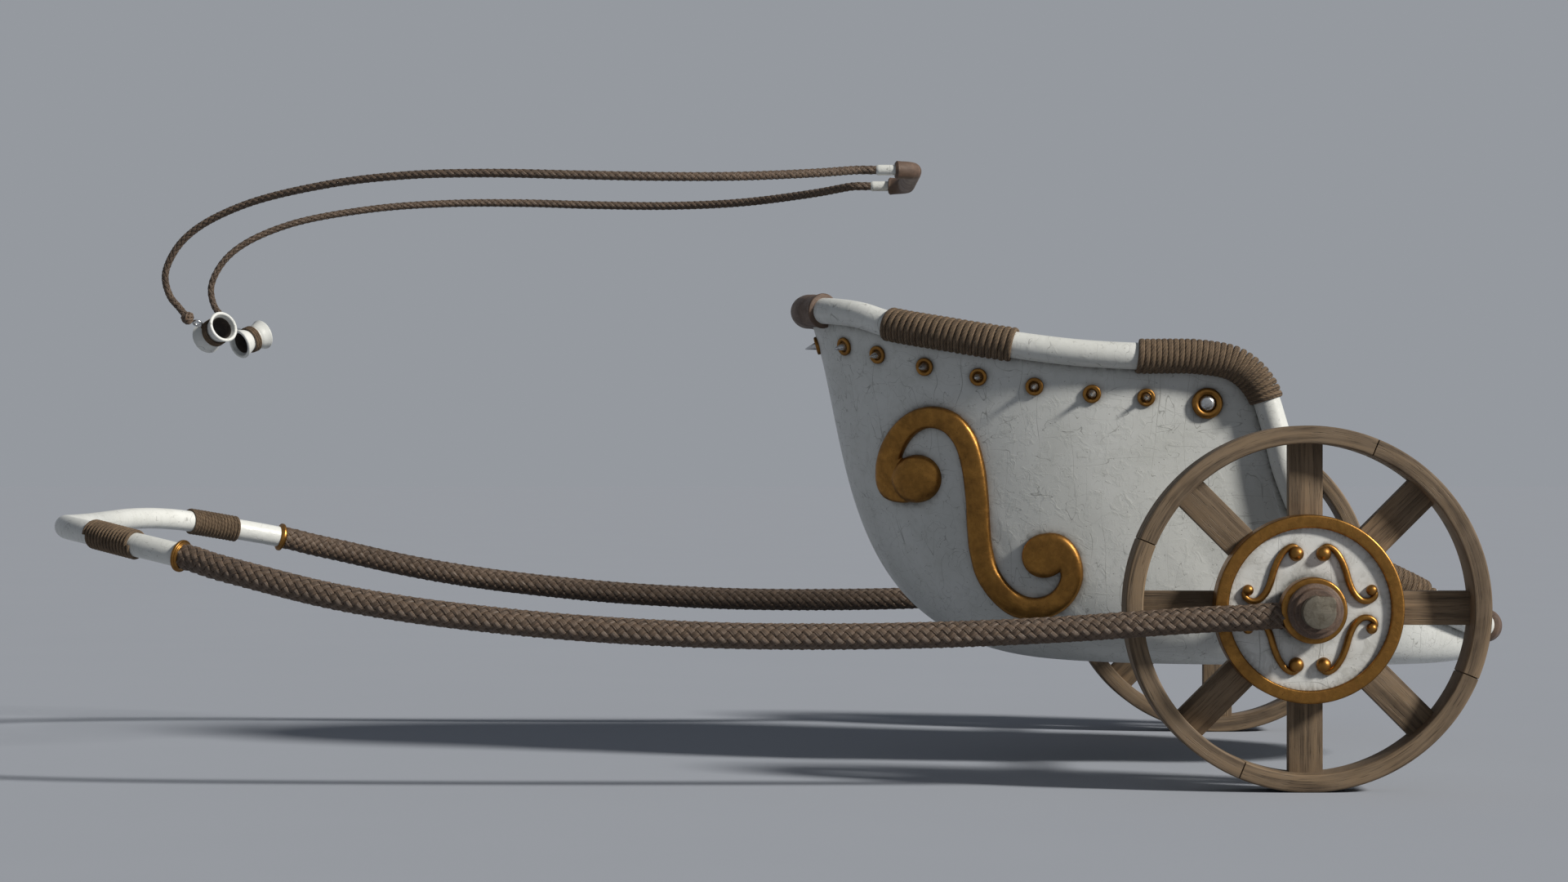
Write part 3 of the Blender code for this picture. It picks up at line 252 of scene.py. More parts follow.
@dataclass
class Skin:
    """A grid of points that becomes a mesh, with a UV map in metres."""

    points: np.ndarray
    loop_rows: bool = False
    loop_cols: bool = False
    capped: bool = False
    uv: np.ndarray | None = None

    def flat_uv(self) -> np.ndarray:
        """Return the distances along the rows and the columns as a UV map."""
        ways = []
        for axis, loop in ((0, self.loop_rows), (1, self.loop_cols)):
            steps = step_lengths(self.points, axis).mean(axis=1 - axis)
            total = running(steps)
            ways.append(np.append(total, total[-1] + (steps[-1] if loop else 0.0)))
        return np.stack(np.meshgrid(*ways, indexing="ij"), axis=-1)

    def add(self, name: str) -> bpy.types.Object:
        """Add the skin to the scene as a mesh object and return it."""
        rows, cols = self.points.shape[:2]
        grid = self.uv if self.uv is not None else self.flat_uv()
        faces: list[tuple[int, ...]] = []
        corners: list[Spot] = []
        for row in range(rows if self.loop_rows else rows - 1):
            below = (row + 1) % rows
            for col in range(cols if self.loop_cols else cols - 1):
                right = (col + 1) % cols
                faces.append((row * cols + col, row * cols + right,
                              below * cols + right, below * cols + col))
                for r, c in ((row, col), (row, col + 1), (row + 1, col + 1), (row + 1, col)):
                    corners.append((grid[r, c, 0], grid[r, c, 1]))
        if self.capped:
            for row in (0, rows - 1):
                way = -1 if row == 0 else 1
                faces.append(tuple(range(row * cols, row * cols + cols))[::way])
                centre = self.points[row].mean(axis=0)
                reach = self.points[row] - centre
                axis_a = unit(reach[0])
                axis_b = unit(reach[cols // 4] - axis_a * (reach[cols // 4] @ axis_a))
                flat = [(float(p @ axis_a), float(p @ axis_b)) for p in reach]
                corners += flat[::way]
        mesh = bpy.data.meshes.new(name)
        mesh.from_pydata([tuple(v) for v in self.points.reshape(-1, 3)], [], faces)
        layer = mesh.uv_layers.new(name="UVMap")
        layer.data.foreach_set("uv", np.array(corners, dtype=np.float32).ravel())
        mesh.validate()
        if self.capped or (self.loop_rows and self.loop_cols):
            point_outwards(mesh)
        mesh.shade_smooth()
        mesh.set_sharp_from_angle(angle=SKIN_CREASE)
        return link_object(name, mesh)


@contextmanager
def opened(mesh: bpy.types.Mesh) -> Iterator[bmesh.types.BMesh]:
    """Open a mesh for editing, and write it back afterwards."""
    shell = bmesh.new()
    shell.from_mesh(mesh)
    yield shell
    shell.to_mesh(mesh)
    shell.free()


def point_outwards(mesh: bpy.types.Mesh) -> None:
    """Turn the faces of a closed mesh outwards."""
    with opened(mesh) as shell:
        bmesh.ops.recalc_face_normals(shell, faces=shell.faces)


def read_points(mesh: bpy.types.Mesh) -> np.ndarray:
    """Return a mesh's points, one row each."""
    places = np.empty(len(mesh.vertices) * 3)
    mesh.vertices.foreach_get("co", places)
    return places.reshape(-1, 3)


def store(mesh: bpy.types.Mesh, name: str, values: np.ndarray) -> None:
    """Store one value for each point of a mesh under a name."""
    layer = mesh.attributes.new(name, "FLOAT", "POINT")
    layer.data.foreach_set("value", values.astype(np.float32))


def link_object(name: str, data: bpy.types.ID) -> bpy.types.Object:
    """Add a mesh, a curve, a lamp or a camera to the scene as an object."""
    item = bpy.data.objects.new(name, data)
    bpy.context.scene.collection.objects.link(item)
    return item


def plain_mesh(item: bpy.types.Object, name: str) -> bpy.types.Mesh:
    """Return the smooth mesh that an object's modifiers make, under a name."""
    graph = bpy.context.evaluated_depsgraph_get()
    mesh = bpy.data.meshes.new_from_object(item.evaluated_get(graph))
    mesh.name = name
    mesh.shade_smooth()
    return mesh


def merge(name: str, items: Iterable[bpy.types.Object]) -> bpy.types.Object:
    """Join objects into one and return it under a name."""
    first, *others = items
    with opened(first.data) as whole:
        for item in others:
            whole.from_mesh(item.data)
    for item in others:
        bpy.data.objects.remove(item, do_unlink=True)
    first.name = name
    first.data.name = name
    return first


def mirror_copy(item: bpy.types.Object, name: str) -> bpy.types.Object:
    """Return a copy of a piece on the other side of the centre plane."""
    mesh = item.data.copy()
    mesh.name = name
    mesh.transform(FLIP_MATRIX)
    mesh.flip_normals()
    return link_object(name, mesh)


def tube_skin(line: Line, stations: np.ndarray, radii: np.ndarray | float, sides: int,
              loop: bool = False, lead: np.ndarray = UP) -> Skin:
    """Return a round skin along a line.

    Args:
        line: the line that the skin follows.
        stations: distances along the line.
        radii: the skin's radius, or one for each station.
        sides: how many faces go round.
        loop: whether the last station joins the first.
        lead: the direction of the skin's first column.

    Returns:
        The skin, which is capped unless it is a loop.
    """
    places, _, first, second = line.frames(stations, lead)
    angles = circle(sides)
    ring = (np.cos(angles)[None, :, None] * first[:, None, :]
            + np.sin(angles)[None, :, None] * second[:, None, :])
    points = places[:, None, :] + ring * np.broadcast_to(radii, len(places))[:, None, None]
    return Skin(points, loop_rows=loop, loop_cols=True, capped=not loop)


def sleeve_skin(line: Line, stations: np.ndarray, outer: np.ndarray, inner: float) -> Skin:
    """Return a closed sleeve round a line, from its outer radii and its bore."""
    whole = np.concatenate([stations, stations[::-1]])
    radii = np.concatenate([outer, np.full(len(stations), inner)])
    return tube_skin(line, whole, radii, 40, loop=True)


def rolled_ends(spots: np.ndarray, reach: float, drop: float, bead: float = 0.0,
                bead_place: float = 0.0, bead_spread: float = 1.0) -> np.ndarray:
    """Return how far a surface rises or falls near the two ends of a bar or sleeve.

    Args:
        spots: distances along it, from its one end to its other.
        reach: how far the rounding of an end reaches.
        drop: how far the surface falls there.
        bead: the height of the bead near each end.
        bead_place: the bead's distance from the end.
        bead_spread: the bead's spread.

    Returns:
        The rise at each of the distances.
    """
    from_end = np.minimum(spots - spots[0], spots[-1] - spots)
    hump = bead * np.exp(-((from_end - bead_place) / bead_spread) ** 2)
    return hump - drop * (1 - np.sqrt(np.clip(from_end / reach, 0, 1)))


def ball_profile(radius: float, steps: int) -> list[Spot]:
    """Return a ball's profile from pole to pole."""
    arc = np.linspace(0, math.pi, steps + 1)[1:-1]
    return [(0.0, -radius), *[(radius * math.sin(a), -radius * math.cos(a)) for a in arc],
            (0.0, radius)]


def turned_skin(profile: Sequence[Spot], centre: Sequence[float], axis: Sequence[float],
                sides: int) -> Skin:
    """Return a turned solid's skin.

    Args:
        profile: radius and height along the axis, in order.
        centre: the place on the axis where the height is zero.
        axis: the direction of the axis.
        sides: how many faces go round.

    Returns:
        A skin that is capped where the profile starts and ends on the axis,
        and closed on itself where it stays clear of it.
    """
    solid = profile[0][0] == 0.0
    rows = profile[1:-1] if solid else profile
    turn = np.array(Vector(axis).to_track_quat("Z", "Y").to_matrix())
    angles = circle(sides)
    rings = []
    for radius, height in rows:
        ring = np.column_stack([radius * np.cos(angles), radius * np.sin(angles),
                                np.full(sides, height)])
        rings.append(ring @ turn.T + np.asarray(centre))
    return Skin(np.array(rings), loop_rows=not solid, loop_cols=True, capped=solid)


def rounded(profile: Sequence[Spot], radius: float, steps: int,
            closed: bool = False) -> list[Spot]:
    """Return a profile with its corners rounded.

    Args:
        profile: the corners as radius and height.
        radius: the rounding's size along each side of a corner.
        steps: how many points each rounded corner has.
        closed: whether the profile is a closed ring.

    Returns:
        The points of the rounded profile.
    """
    corners = [np.array(corner, dtype=float) for corner in profile]
    count = len(corners)
    result: list[Spot] = []
    for index, corner in enumerate(corners):
        if not closed and index in (0, count - 1):
            result.append(tuple(corner))
            continue
        before = corners[index - 1] - corner
        after = corners[(index + 1) % count] - corner
        reach = min(radius, np.linalg.norm(before) * 0.45, np.linalg.norm(after) * 0.45)
        start = corner + unit(before) * reach
        end = corner + unit(after) * reach
        for t in np.linspace(0, 1, steps + 1):
            point = (1 - t) ** 2 * start + 2 * (1 - t) * t * corner + t**2 * end
            result.append((float(point[0]), float(point[1])))
    return result


def prism(outline: Sequence[Sequence[float]], low: float, high: float, axis: int,
          name: str, edge: float) -> bpy.types.Object:
    """Add a flat board cut to an outline, with its edges eased.

    Args:
        outline: the outline's corners in the plane across the axis.
        low: where the board starts along the axis.
        high: where it ends.
        axis: 0, 1 or 2 for X, Y or Z.
        name: the object's name.
        edge: how much its edges are eased.

    Returns:
        The board.
    """
    others = [k for k in range(3) if k != axis]
    mesh = bpy.data.meshes.new(name)
    with opened(mesh) as shell:
        rings = []
        for level in (low, high):
            ring = []
            for corner in outline:
                place = [level, level, level]
                place[others[0]], place[others[1]] = corner
                ring.append(shell.verts.new(place))
            rings.append(ring)
        bottom, lid = rings
        shell.faces.new(bottom)
        shell.faces.new(lid)
        for k in range(len(outline)):
            after = (k + 1) % len(outline)
            shell.faces.new((bottom[k], bottom[after], lid[after], lid[k]))
        bmesh.ops.recalc_face_normals(shell, faces=shell.faces)
        sharp = [e for e in shell.edges if e.calc_face_angle(0.0) > EASED_CREASE]
        bmesh.ops.bevel(shell, geom=sharp, offset=edge, segments=2, profile=0.6, affect="EDGES")
    mesh.shade_smooth()
    mesh.set_sharp_from_angle(angle=BOARD_CREASE)
    return link_object(name, mesh)


def grain_map(item: bpy.types.Object, along: Sequence[float], across: Sequence[float],
              shift: float = 0.0) -> bpy.types.Object:
    """Give a board a UV map in metres, with U along its grain.

    Args:
        item: the board.
        along: the direction of its grain.
        across: the direction across the grain on its wide face.
        shift: an offset that makes its figure differ from its neighbours'.

    Returns:
        The board.
    """
    mesh = item.data
    layer = mesh.uv_layers.get("UVMap") or mesh.uv_layers.new(name="UVMap")
    run, side = Vector(along).normalized(), Vector(across).normalized()
    depth = run.cross(side)
    for polygon in mesh.polygons:
        end_on = abs(polygon.normal.dot(run)) > 0.8
        flat = abs(polygon.normal.dot(depth)) > 0.5
        for loop in polygon.loop_indices:
            place = mesh.vertices[mesh.loops[loop].vertex_index].co
            u = place.dot(depth) if end_on else place.dot(run)
            v = place.dot(side) if flat or end_on else place.dot(depth)
            layer.data[loop].uv = (u + shift * 3.1, v + shift)
    return item


def rgba(colour: Colour) -> tuple[float, float, float, float]:
    """Return a colour with full cover."""
    return (*colour, 1.0)


class Graph:
    """Adds nodes to one node tree and joins them."""

    def __init__(self, tree: bpy.types.NodeTree) -> None:
        """Take the tree that the nodes go into."""
        self.tree = tree

    def feed(self, socket: bpy.types.NodeSocket, value: object) -> None:
        """Set an input, or link it where the value is another node's output."""
        if isinstance(value, bpy.types.NodeSocket):
            self.tree.links.new(value, socket)
        elif value is not None:
            socket.default_value = value

    def add(self, kind: str, inputs: dict | None = None, **settings: object) -> bpy.types.Node:
        """Add a node with its settings and its inputs by name or number."""
        node = self.tree.nodes.new(kind)
        for key, value in settings.items():
            setattr(node, key, value)
        for key, value in (inputs or {}).items():
            self.feed(node.inputs[key], value)
        return node

    def noise(self, vector: object, scale: float, detail: float = 4.0, rough: float = 0.55,
              warp: float = 0.0) -> bpy.types.NodeSocket:
        """Return a noise value at the given coordinates."""
        node = self.add("ShaderNodeTexNoise", {"Vector": vector, "Scale": scale, "Detail": detail,
                                               "Roughness": rough, "Distortion": warp})
        return node.outputs["Fac"]

    def spread(self, vector: object, stretch: tuple[float, float, float],
               turn: tuple[float, float, float] = (0.0, 0.0, 0.0)) -> bpy.types.NodeSocket:
        """Return coordinates turned and stretched."""
        node = self.add("ShaderNodeMapping", {"Vector": vector, "Rotation": turn, "Scale": stretch})
        return node.outputs["Vector"]

    def band(self, value: object, low: float, high: float, start: float = 0.0,
             end: float = 1.0) -> bpy.types.NodeSocket:
        """Return a value brought smoothly from one range to another."""
        node = self.add("ShaderNodeMapRange", {"Value": value, "From Min": low, "From Max": high,
                                               "To Min": start, "To Max": end},
                        interpolation_type="SMOOTHSTEP", clamp=True)
        return node.outputs["Result"]

    def math(self, operation: str, first: object, second: object = None,
             third: object = None) -> bpy.types.NodeSocket:
        """Return the result of a sum on one to three values."""
        node = self.add("ShaderNodeMath", {0: first, 1: second, 2: third}, operation=operation)
        return node.outputs["Value"]

    def times(self, first: object, second: object) -> bpy.types.NodeSocket:
        """Return the product of two values."""
        return self.math("MULTIPLY", first, second)

    def held(self, value: object) -> bpy.types.NodeSocket:
        """Return a value held between zero and one."""
        return self.math("MINIMUM", self.math("MAXIMUM", value, 0.0), 1.0)

    def scaled(self, vector: object, size: object) -> bpy.types.NodeSocket:
        """Return a vector times a size."""
        node = self.add("ShaderNodeVectorMath", {0: vector, "Scale": size}, operation="SCALE")
        return node.outputs["Vector"]

    def mix(self, share: object, first: object, second: object) -> bpy.types.NodeSocket:
        """Return a mix of two colours, each a plain colour or a node's output."""
        first, second = [rgba(c) if isinstance(c, tuple) else c for c in (first, second)]
        node = self.add("ShaderNodeMix", {0: share, 6: first, 7: second}, data_type="RGBA")
        return node.outputs[2]


class Effect(Enum):
    """The surface effects that several materials share."""

    SCRATCHES = "scratches"
    SPECKS = "specks"
    CLOUDS = "clouds"
    GRAIN = "grain"
    FIBRES = "fibres"


class Effects:
    """Builds each shared effect once, as a shader node group."""

    def __init__(self) -> None:
        """Build the groups."""
        self.trees = {
            Effect.SCRATCHES: self.scratches(),
            Effect.SPECKS: self.specks(),
            Effect.CLOUDS: self.clouds(),
            Effect.GRAIN: self.grain(),
            Effect.FIBRES: self.fibres(),
        }

    def start(self, effect: Effect, values: dict[str, float],
              outputs: Sequence[str] = ("Mask",)) -> tuple[Graph, dict, bpy.types.Node]:
        """Start a group with a Vector input and the named values.

        Args:
            effect: the effect that the group makes.
            values: the names and starting values of its other inputs.
            outputs: the names of its outputs.

        Returns:
            The group's graph, its inputs by name and its output node.
        """
        tree = bpy.data.node_groups.new(effect.value, "ShaderNodeTree")
        tree.interface.new_socket(name="Vector", in_out="INPUT", socket_type="NodeSocketVector")
        for name, value in values.items():
            socket = tree.interface.new_socket(name=name, in_out="INPUT", socket_type="NodeSocketFloat")
            socket.default_value = value
        for name in outputs:
            tree.interface.new_socket(name=name, in_out="OUTPUT", socket_type="NodeSocketFloat")
        graph = Graph(tree)
        given = {socket.name: socket for socket in graph.add("NodeGroupInput").outputs}
        return graph, given, graph.add("NodeGroupOutput")

    def scratches(self) -> bpy.types.NodeTree:
        """Return fine lines in three directions, gathered in patches."""
        graph, given, result = self.start(
            Effect.SCRATCHES, {"Scale": 10.0, "Width": 0.012, "Cover": 0.5})
        total = 0.0
        ways = (((0.35, 0.2, 0.5), (1.0, 9.0, 9.0)), ((-0.5, 0.9, -0.35), (9.0, 1.2, 7.0)),
                ((1.1, -0.4, 0.2), (6.0, 8.0, 0.9)))
        for turn, stretch in ways:
            laid = graph.spread(given["Vector"], stretch, turn)
            wave = graph.noise(laid, given["Scale"], 1.0, 0.4, 0.35)
            off = graph.math("ABSOLUTE", graph.math("SUBTRACT", wave, 0.5))
            line = graph.math("SUBTRACT", 1.0, graph.math("DIVIDE", off, given["Width"]))
            patch = graph.noise(laid, 3.1, 3.0, 0.6)
            edge = graph.math("SUBTRACT", graph.math("ADD", patch, given["Cover"]), 1.0)
            kept = graph.held(graph.times(edge, 9.0))
            total = graph.math("MAXIMUM", total, graph.times(graph.math("MAXIMUM", line, 0.0), kept))
        graph.feed(result.inputs["Mask"], total)
        return graph.tree

    def specks(self) -> bpy.types.NodeTree:
        """Return small round specks of uneven size."""
        graph, given, result = self.start(Effect.SPECKS, {"Scale": 60.0, "Size": 0.16, "Cover": 0.4})
        cells = graph.add("ShaderNodeTexVoronoi", {key: given[key] for key in ("Vector", "Scale")})
        spot = graph.math("SUBTRACT", given["Size"], cells.outputs["Distance"])
        chance = graph.add("ShaderNodeSeparateColor", {0: cells.outputs["Color"]}).outputs[0]
        kept = graph.math("LESS_THAN", chance, given["Cover"])
        graph.feed(result.inputs["Mask"], graph.times(graph.held(graph.times(spot, 14.0)), kept))
        return graph.tree

    def clouds(self) -> bpy.types.NodeTree:
        """Return soft blotches with a ragged edge."""
        graph, given, result = self.start(
            Effect.CLOUDS, {"Scale": 6.0, "Edge": 0.5, "Softness": 0.12, "Warp": 0.6})
        wave = graph.noise(given["Vector"], given["Scale"], 7.0, 0.62, given["Warp"])
        share = graph.math("DIVIDE", graph.math("SUBTRACT", wave, given["Edge"]), given["Softness"])
        graph.feed(result.inputs["Mask"], graph.held(graph.math("ADD", share, 0.5)))
        return graph.tree

    def grain(self) -> bpy.types.NodeTree:
        """Return wood figure along U: broad bands and fine dark pores."""
        graph, given, result = self.start(
            Effect.GRAIN, {"Scale": 1.0, "Sway": 0.6}, ("Bands", "Pores"))
        laid = graph.scaled(graph.spread(given["Vector"], (2.2, 46.0, 46.0)), given["Scale"])
        graph.feed(result.inputs["Bands"], graph.noise(laid, 1.0, 5.0, 0.6, given["Sway"]))
        pores = graph.noise(graph.spread(laid, (5.0, 7.0, 7.0)), 1.0, 2.0, 0.7)
        graph.feed(result.inputs["Pores"], graph.band(pores, 0.56, 0.72))
        return graph.tree

    def fibres(self) -> bpy.types.NodeTree:
        """Return twisted strands: X of the vector runs along the cord and Y round it."""
        graph, given, result = self.start(
            Effect.FIBRES, {"Lay": 90.0, "Strands": 7.0, "Fray": 0.35}, ("Ridge", "Fibre"))
        split = graph.add("ShaderNodeSeparateXYZ", {0: given["Vector"]})
        along = graph.times(split.outputs[0], given["Lay"])
        phase = graph.math("ADD", along, graph.times(split.outputs[1], given["Strands"]))
        stretch = graph.add("ShaderNodeCombineXYZ", {0: phase, 1: graph.times(along, 0.22)})
        fuzz = graph.noise(stretch.outputs[0], 3.0, 4.0, 0.7)
        phase = graph.math("MULTIPLY_ADD", fuzz, given["Fray"], phase)
        ridge = graph.math("SINE", graph.times(phase, 2 * math.pi))
        graph.feed(result.inputs["Ridge"], graph.math("MULTIPLY_ADD", ridge, 0.5, 0.5))
        graph.feed(result.inputs["Fibre"], fuzz)
        return graph.tree


class Surface:
    """One material's shader, with the shared effects laid on it."""

    def __init__(self, name: str, effects: Effects) -> None:
        """Start a material with a plain shader."""
        self.material = bpy.data.materials.new(name)
        self.material.use_nodes = True
        self.effects = effects
        self.graph = Graph(self.material.node_tree)
        self.shader = self.material.node_tree.nodes["Principled BSDF"]
        coordinates = self.graph.add("ShaderNodeTexCoord").outputs
        self.place = coordinates["Object"]
        self.flat = coordinates["UV"]

    def lay(self, effect: Effect, vector: object, **values: float) -> bpy.types.Node:
        """Lay a shared effect on the surface, with values for its inputs."""
        return self.graph.add("ShaderNodeGroup", {"Vector": vector, **values},
                              node_tree=self.effects.trees[effect])

    def clouds(self, scale: float, edge: float, softness: float,
               warp: float) -> bpy.types.NodeSocket:
        """Return where soft blotches lie."""
        return self.lay(Effect.CLOUDS, self.place, Scale=scale, Edge=edge, Softness=softness,
                        Warp=warp).outputs["Mask"]

    def scratches(self, scale: float, width: float, cover: float) -> bpy.types.NodeSocket:
        """Return where fine scratches lie."""
        return self.lay(Effect.SCRATCHES, self.place, Scale=scale, Width=width,
                        Cover=cover).outputs["Mask"]

    def specks(self, scale: float, size: float, cover: float) -> bpy.types.NodeSocket:
        """Return where small specks lie."""
        return self.lay(Effect.SPECKS, self.place, Scale=scale, Size=size,
                        Cover=cover).outputs["Mask"]

    def stored(self, name: str) -> bpy.types.NodeSocket:
        """Return a value that the piece's points store."""
        return self.graph.add("ShaderNodeAttribute", attribute_name=name).outputs["Fac"]

    def tinted(self, colour: object, share: object, strength: float,
               over: Colour) -> bpy.types.NodeSocket:
        """Return a colour with another one laid over a share of it."""
        return self.graph.mix(self.graph.times(share, strength), colour, over)

    def show(self, colour: object, rough: object, height: object = None, depth: float = 0.0,
             strength: float = 1.0) -> None:
        """Feed the shader.

        Args:
            colour: the surface's colour.
            rough: its roughness.
            height: a height that changes over it, or None for a flat surface.
            depth: how much a height of one raises it.
            strength: how clearly the relief shows.
        """
        self.graph.feed(self.shader.inputs["Base Color"], colour)
        self.graph.feed(self.shader.inputs["Roughness"], rough)
        if height is not None:
            bump = self.graph.add("ShaderNodeBump", {"Height": height, "Distance": depth,
                                                     "Strength": strength})
            self.graph.feed(self.shader.inputs["Normal"], bump.outputs["Normal"])


@dataclass(frozen=True)
class Finish:
    """One finish of the chariot, dressed as a procedural material."""

    name: str
    colour: Colour
    dark: Colour
    roughness: float
    slot: Slot
    metallic: float = 0.0

    def build(self, effects: Effects) -> bpy.types.Material:
        """Build the material and return it."""
        surface = Surface(self.name, effects)
        surface.shader.inputs["Metallic"].default_value = self.metallic
        self.dress(surface, surface.graph)
        LOG.info("material %s", self.name)
        return surface.material

    def dress(self, on: Surface, graph: Graph) -> None:
        """Dress the surface; each finish does this in its own way."""
        raise NotImplementedError

    def lighter(self, share: float, lift: float = 0.0) -> Colour:
        """Return the finish's colour, made lighter and held at white."""
        return tuple(min(1.0, value * share + lift) for value in self.colour)


@dataclass(frozen=True)
class PaintFinish(Finish):
    """Worn satin paint with scratches and specks, and painted shade where a piece's points store it."""

    grimy: bool = False
    cloudy: float = 0.35
    scratched: float = 0.52
    bare: Colour = (0.13, 0.125, 0.11)
    # The dark colour that the painted shade darkens towards.
    grime: Colour = (0.085, 0.078, 0.062)

    def dress(self, on: Surface, graph: Graph) -> None:
        """Lay the paint's wear on the surface."""
        fine = on.clouds(scale=34.0, edge=0.60, softness=0.22, warp=0.8)
        broad = on.clouds(scale=5.0, edge=0.54, softness=0.30, warp=0.4)
        colour = on.tinted(self.colour, broad, self.cloudy, self.dark)
        colour = on.tinted(colour, fine, self.cloudy * 0.8, self.dark)
        marks = graph.math("MAXIMUM", on.scratches(scale=3.4, width=0.006, cover=self.scratched),
                           on.specks(scale=85.0, size=0.15, cover=0.22))
        marks = graph.times(marks, 0.62)
        colour = graph.mix(marks, colour, self.bare)
        rough = graph.band(fine, 0.0, 1.0, self.roughness, self.roughness + 0.18)
        # Painted shade: the paint darkens where the piece's points store shade, broken up by a ragged
        # noise.
        if self.grimy:
            ragged = on.clouds(scale=48.0, edge=0.40, softness=0.50, warp=0.5)
            ragged = graph.math("MULTIPLY_ADD", ragged, 0.75, 0.25)
            shade_share = graph.times(on.stored("grime"), ragged)
            colour = on.tinted(colour, shade_share, 0.92, self.grime)
            rough = graph.math("MULTIPLY_ADD", shade_share, 0.3, rough)
        on.show(colour, rough, graph.math("MULTIPLY_ADD", marks, -0.6, fine), depth=0.0004)


@dataclass(frozen=True)
class BronzeFinish(Finish):
    """Old bronze, mottled with a dark patina."""

    def dress(self, on: Surface, graph: Graph) -> None:
        """Lay the patina on the surface."""
        blotch = on.clouds(scale=17.0, edge=0.55, softness=0.40, warp=0.8)
        pits = on.specks(scale=190.0, size=0.26, cover=0.35)
        sheen = graph.noise(on.place, 60.0, 3.0, 0.6)
        colour = graph.mix(graph.band(sheen, 0.4, 0.66), self.colour, self.lighter(1.22))
        colour = on.tinted(colour, blotch, 0.60, self.dark)
        colour = on.tinted(colour, pits, 0.5, self.dark)
        rough = graph.band(blotch, 0.0, 1.0, self.roughness, self.roughness + 0.22)
        height = graph.math("SUBTRACT", sheen, blotch)
        on.show(colour, rough, height, depth=0.0008, strength=0.7)


@dataclass(frozen=True)
class WoodFinish(Finish):
    """Dry, greyed wood with its grain along U."""

    def dress(self, on: Surface, graph: Graph) -> None:
        """Lay the grain on the surface."""
        figure = on.lay(Effect.GRAIN, on.flat, Scale=1.0, Sway=0.7).outputs
        streak = graph.band(figure["Bands"], 0.34, 0.64)
        colour = graph.mix(streak, self.dark, self.colour)
        greyed = on.clouds(scale=9.0, edge=0.52, softness=0.3, warp=0.6)
        colour = on.tinted(colour, greyed, 0.5, self.lighter(0.80, 0.030))
        colour = on.tinted(colour, figure["Pores"], 0.6, tuple(value * 0.35 for value in self.dark))
        rough = graph.band(streak, 0.0, 1.0, self.roughness + 0.1, self.roughness - 0.08)
        height = graph.math("SUBTRACT", figure["Bands"], figure["Pores"])
        on.show(colour, rough, height, depth=0.0011, strength=0.8)


@dataclass(frozen=True)
class StrandFinish(Finish):
    """Twisted fibre or leather strand, read by its along and round attributes."""

    lay: float = 90.0
    strands: float = 7.0
    depth: float = 0.0012

    def dress(self, on: Surface, graph: Graph) -> None:
        """Lay the strand's fibres on the surface, with painted shade in the grooves between them."""
        flat = graph.add("ShaderNodeCombineXYZ", {0: on.stored("along"), 1: on.stored("round")})
        fibre = on.lay(Effect.FIBRES, flat.outputs[0], Lay=self.lay, Strands=self.strands,
                       Fray=0.9).outputs
        share = graph.times(fibre["Ridge"], graph.band(fibre["Fibre"], 0.3, 0.7, 0.5, 1.0))
        # Painted shade: the colour falls to the dark one in the grooves between the strands.
        colour = graph.mix(share, self.dark, self.colour)
        faded = on.clouds(scale=42.0, edge=0.5, softness=0.3, warp=0.5)
        colour = on.tinted(colour, faded, 0.35, self.lighter(1.5, 0.02))
        rough = graph.band(fibre["Fibre"], 0.3, 0.7, self.roughness - 0.08, self.roughness + 0.08)
        on.show(colour, rough, graph.math("ADD", share, fibre["Fibre"]), depth=self.depth)


@dataclass(frozen=True)
class LeatherFinish(Finish):
    """Old leather with creases and rubbed patches."""

    def dress(self, on: Surface, graph: Graph) -> None:
        """Lay the creases and the rubbed patches on the surface."""
        rubbed = on.clouds(scale=22.0, edge=0.52, softness=0.3, warp=0.8)
        scored = on.scratches(scale=8.0, width=0.02, cover=0.5)
        cells = graph.add("ShaderNodeTexVoronoi", {"Vector": on.place, "Scale": 420.0},
                          feature="DISTANCE_TO_EDGE").outputs["Distance"]
        colour = graph.mix(rubbed, self.dark, self.colour)
        colour = on.tinted(colour, scored, 0.5, self.lighter(1.7, 0.02))
        rough = graph.band(rubbed, 0.0, 1.0, self.roughness + 0.1, self.roughness - 0.06)
        height = graph.math("ADD", graph.band(cells, 0.0, 0.25), rubbed)
        on.show(colour, rough, height, depth=0.0005, strength=0.6)


@dataclass(frozen=True)
class MetalFinish(Finish):
    """Bare metal with fine scratches and dull spots."""

    def dress(self, on: Surface, graph: Graph) -> None:
        """Lay the metal's wear on the surface."""
        lines = graph.times(on.scratches(scale=26.0, width=0.02, cover=0.5), 0.5)
        dull = graph.times(on.clouds(scale=55.0, edge=0.54, softness=0.25, warp=0.8), 0.75)
        marks = graph.math("MAXIMUM", lines, dull)
        colour = graph.mix(marks, self.colour, self.dark)
        rough = graph.band(marks, 0.0, 1.0, self.roughness, self.roughness + 0.3)
        on.show(colour, rough, graph.times(marks, -1.0), depth=0.0004, strength=0.6)


@dataclass(frozen=True)
class FloorFinish(Finish):
    """The plain, pale floor."""

    def dress(self, on: Surface, graph: Graph) -> None:
        """Lay a faintly uneven colour on the surface."""
        soft = graph.band(graph.noise(on.place, 1.4, 2.0, 0.5), 0.3, 0.7)
        on.show(graph.mix(soft, self.colour, self.dark), self.roughness)
        on.shader.inputs["Specular IOR Level"].default_value = 0.15


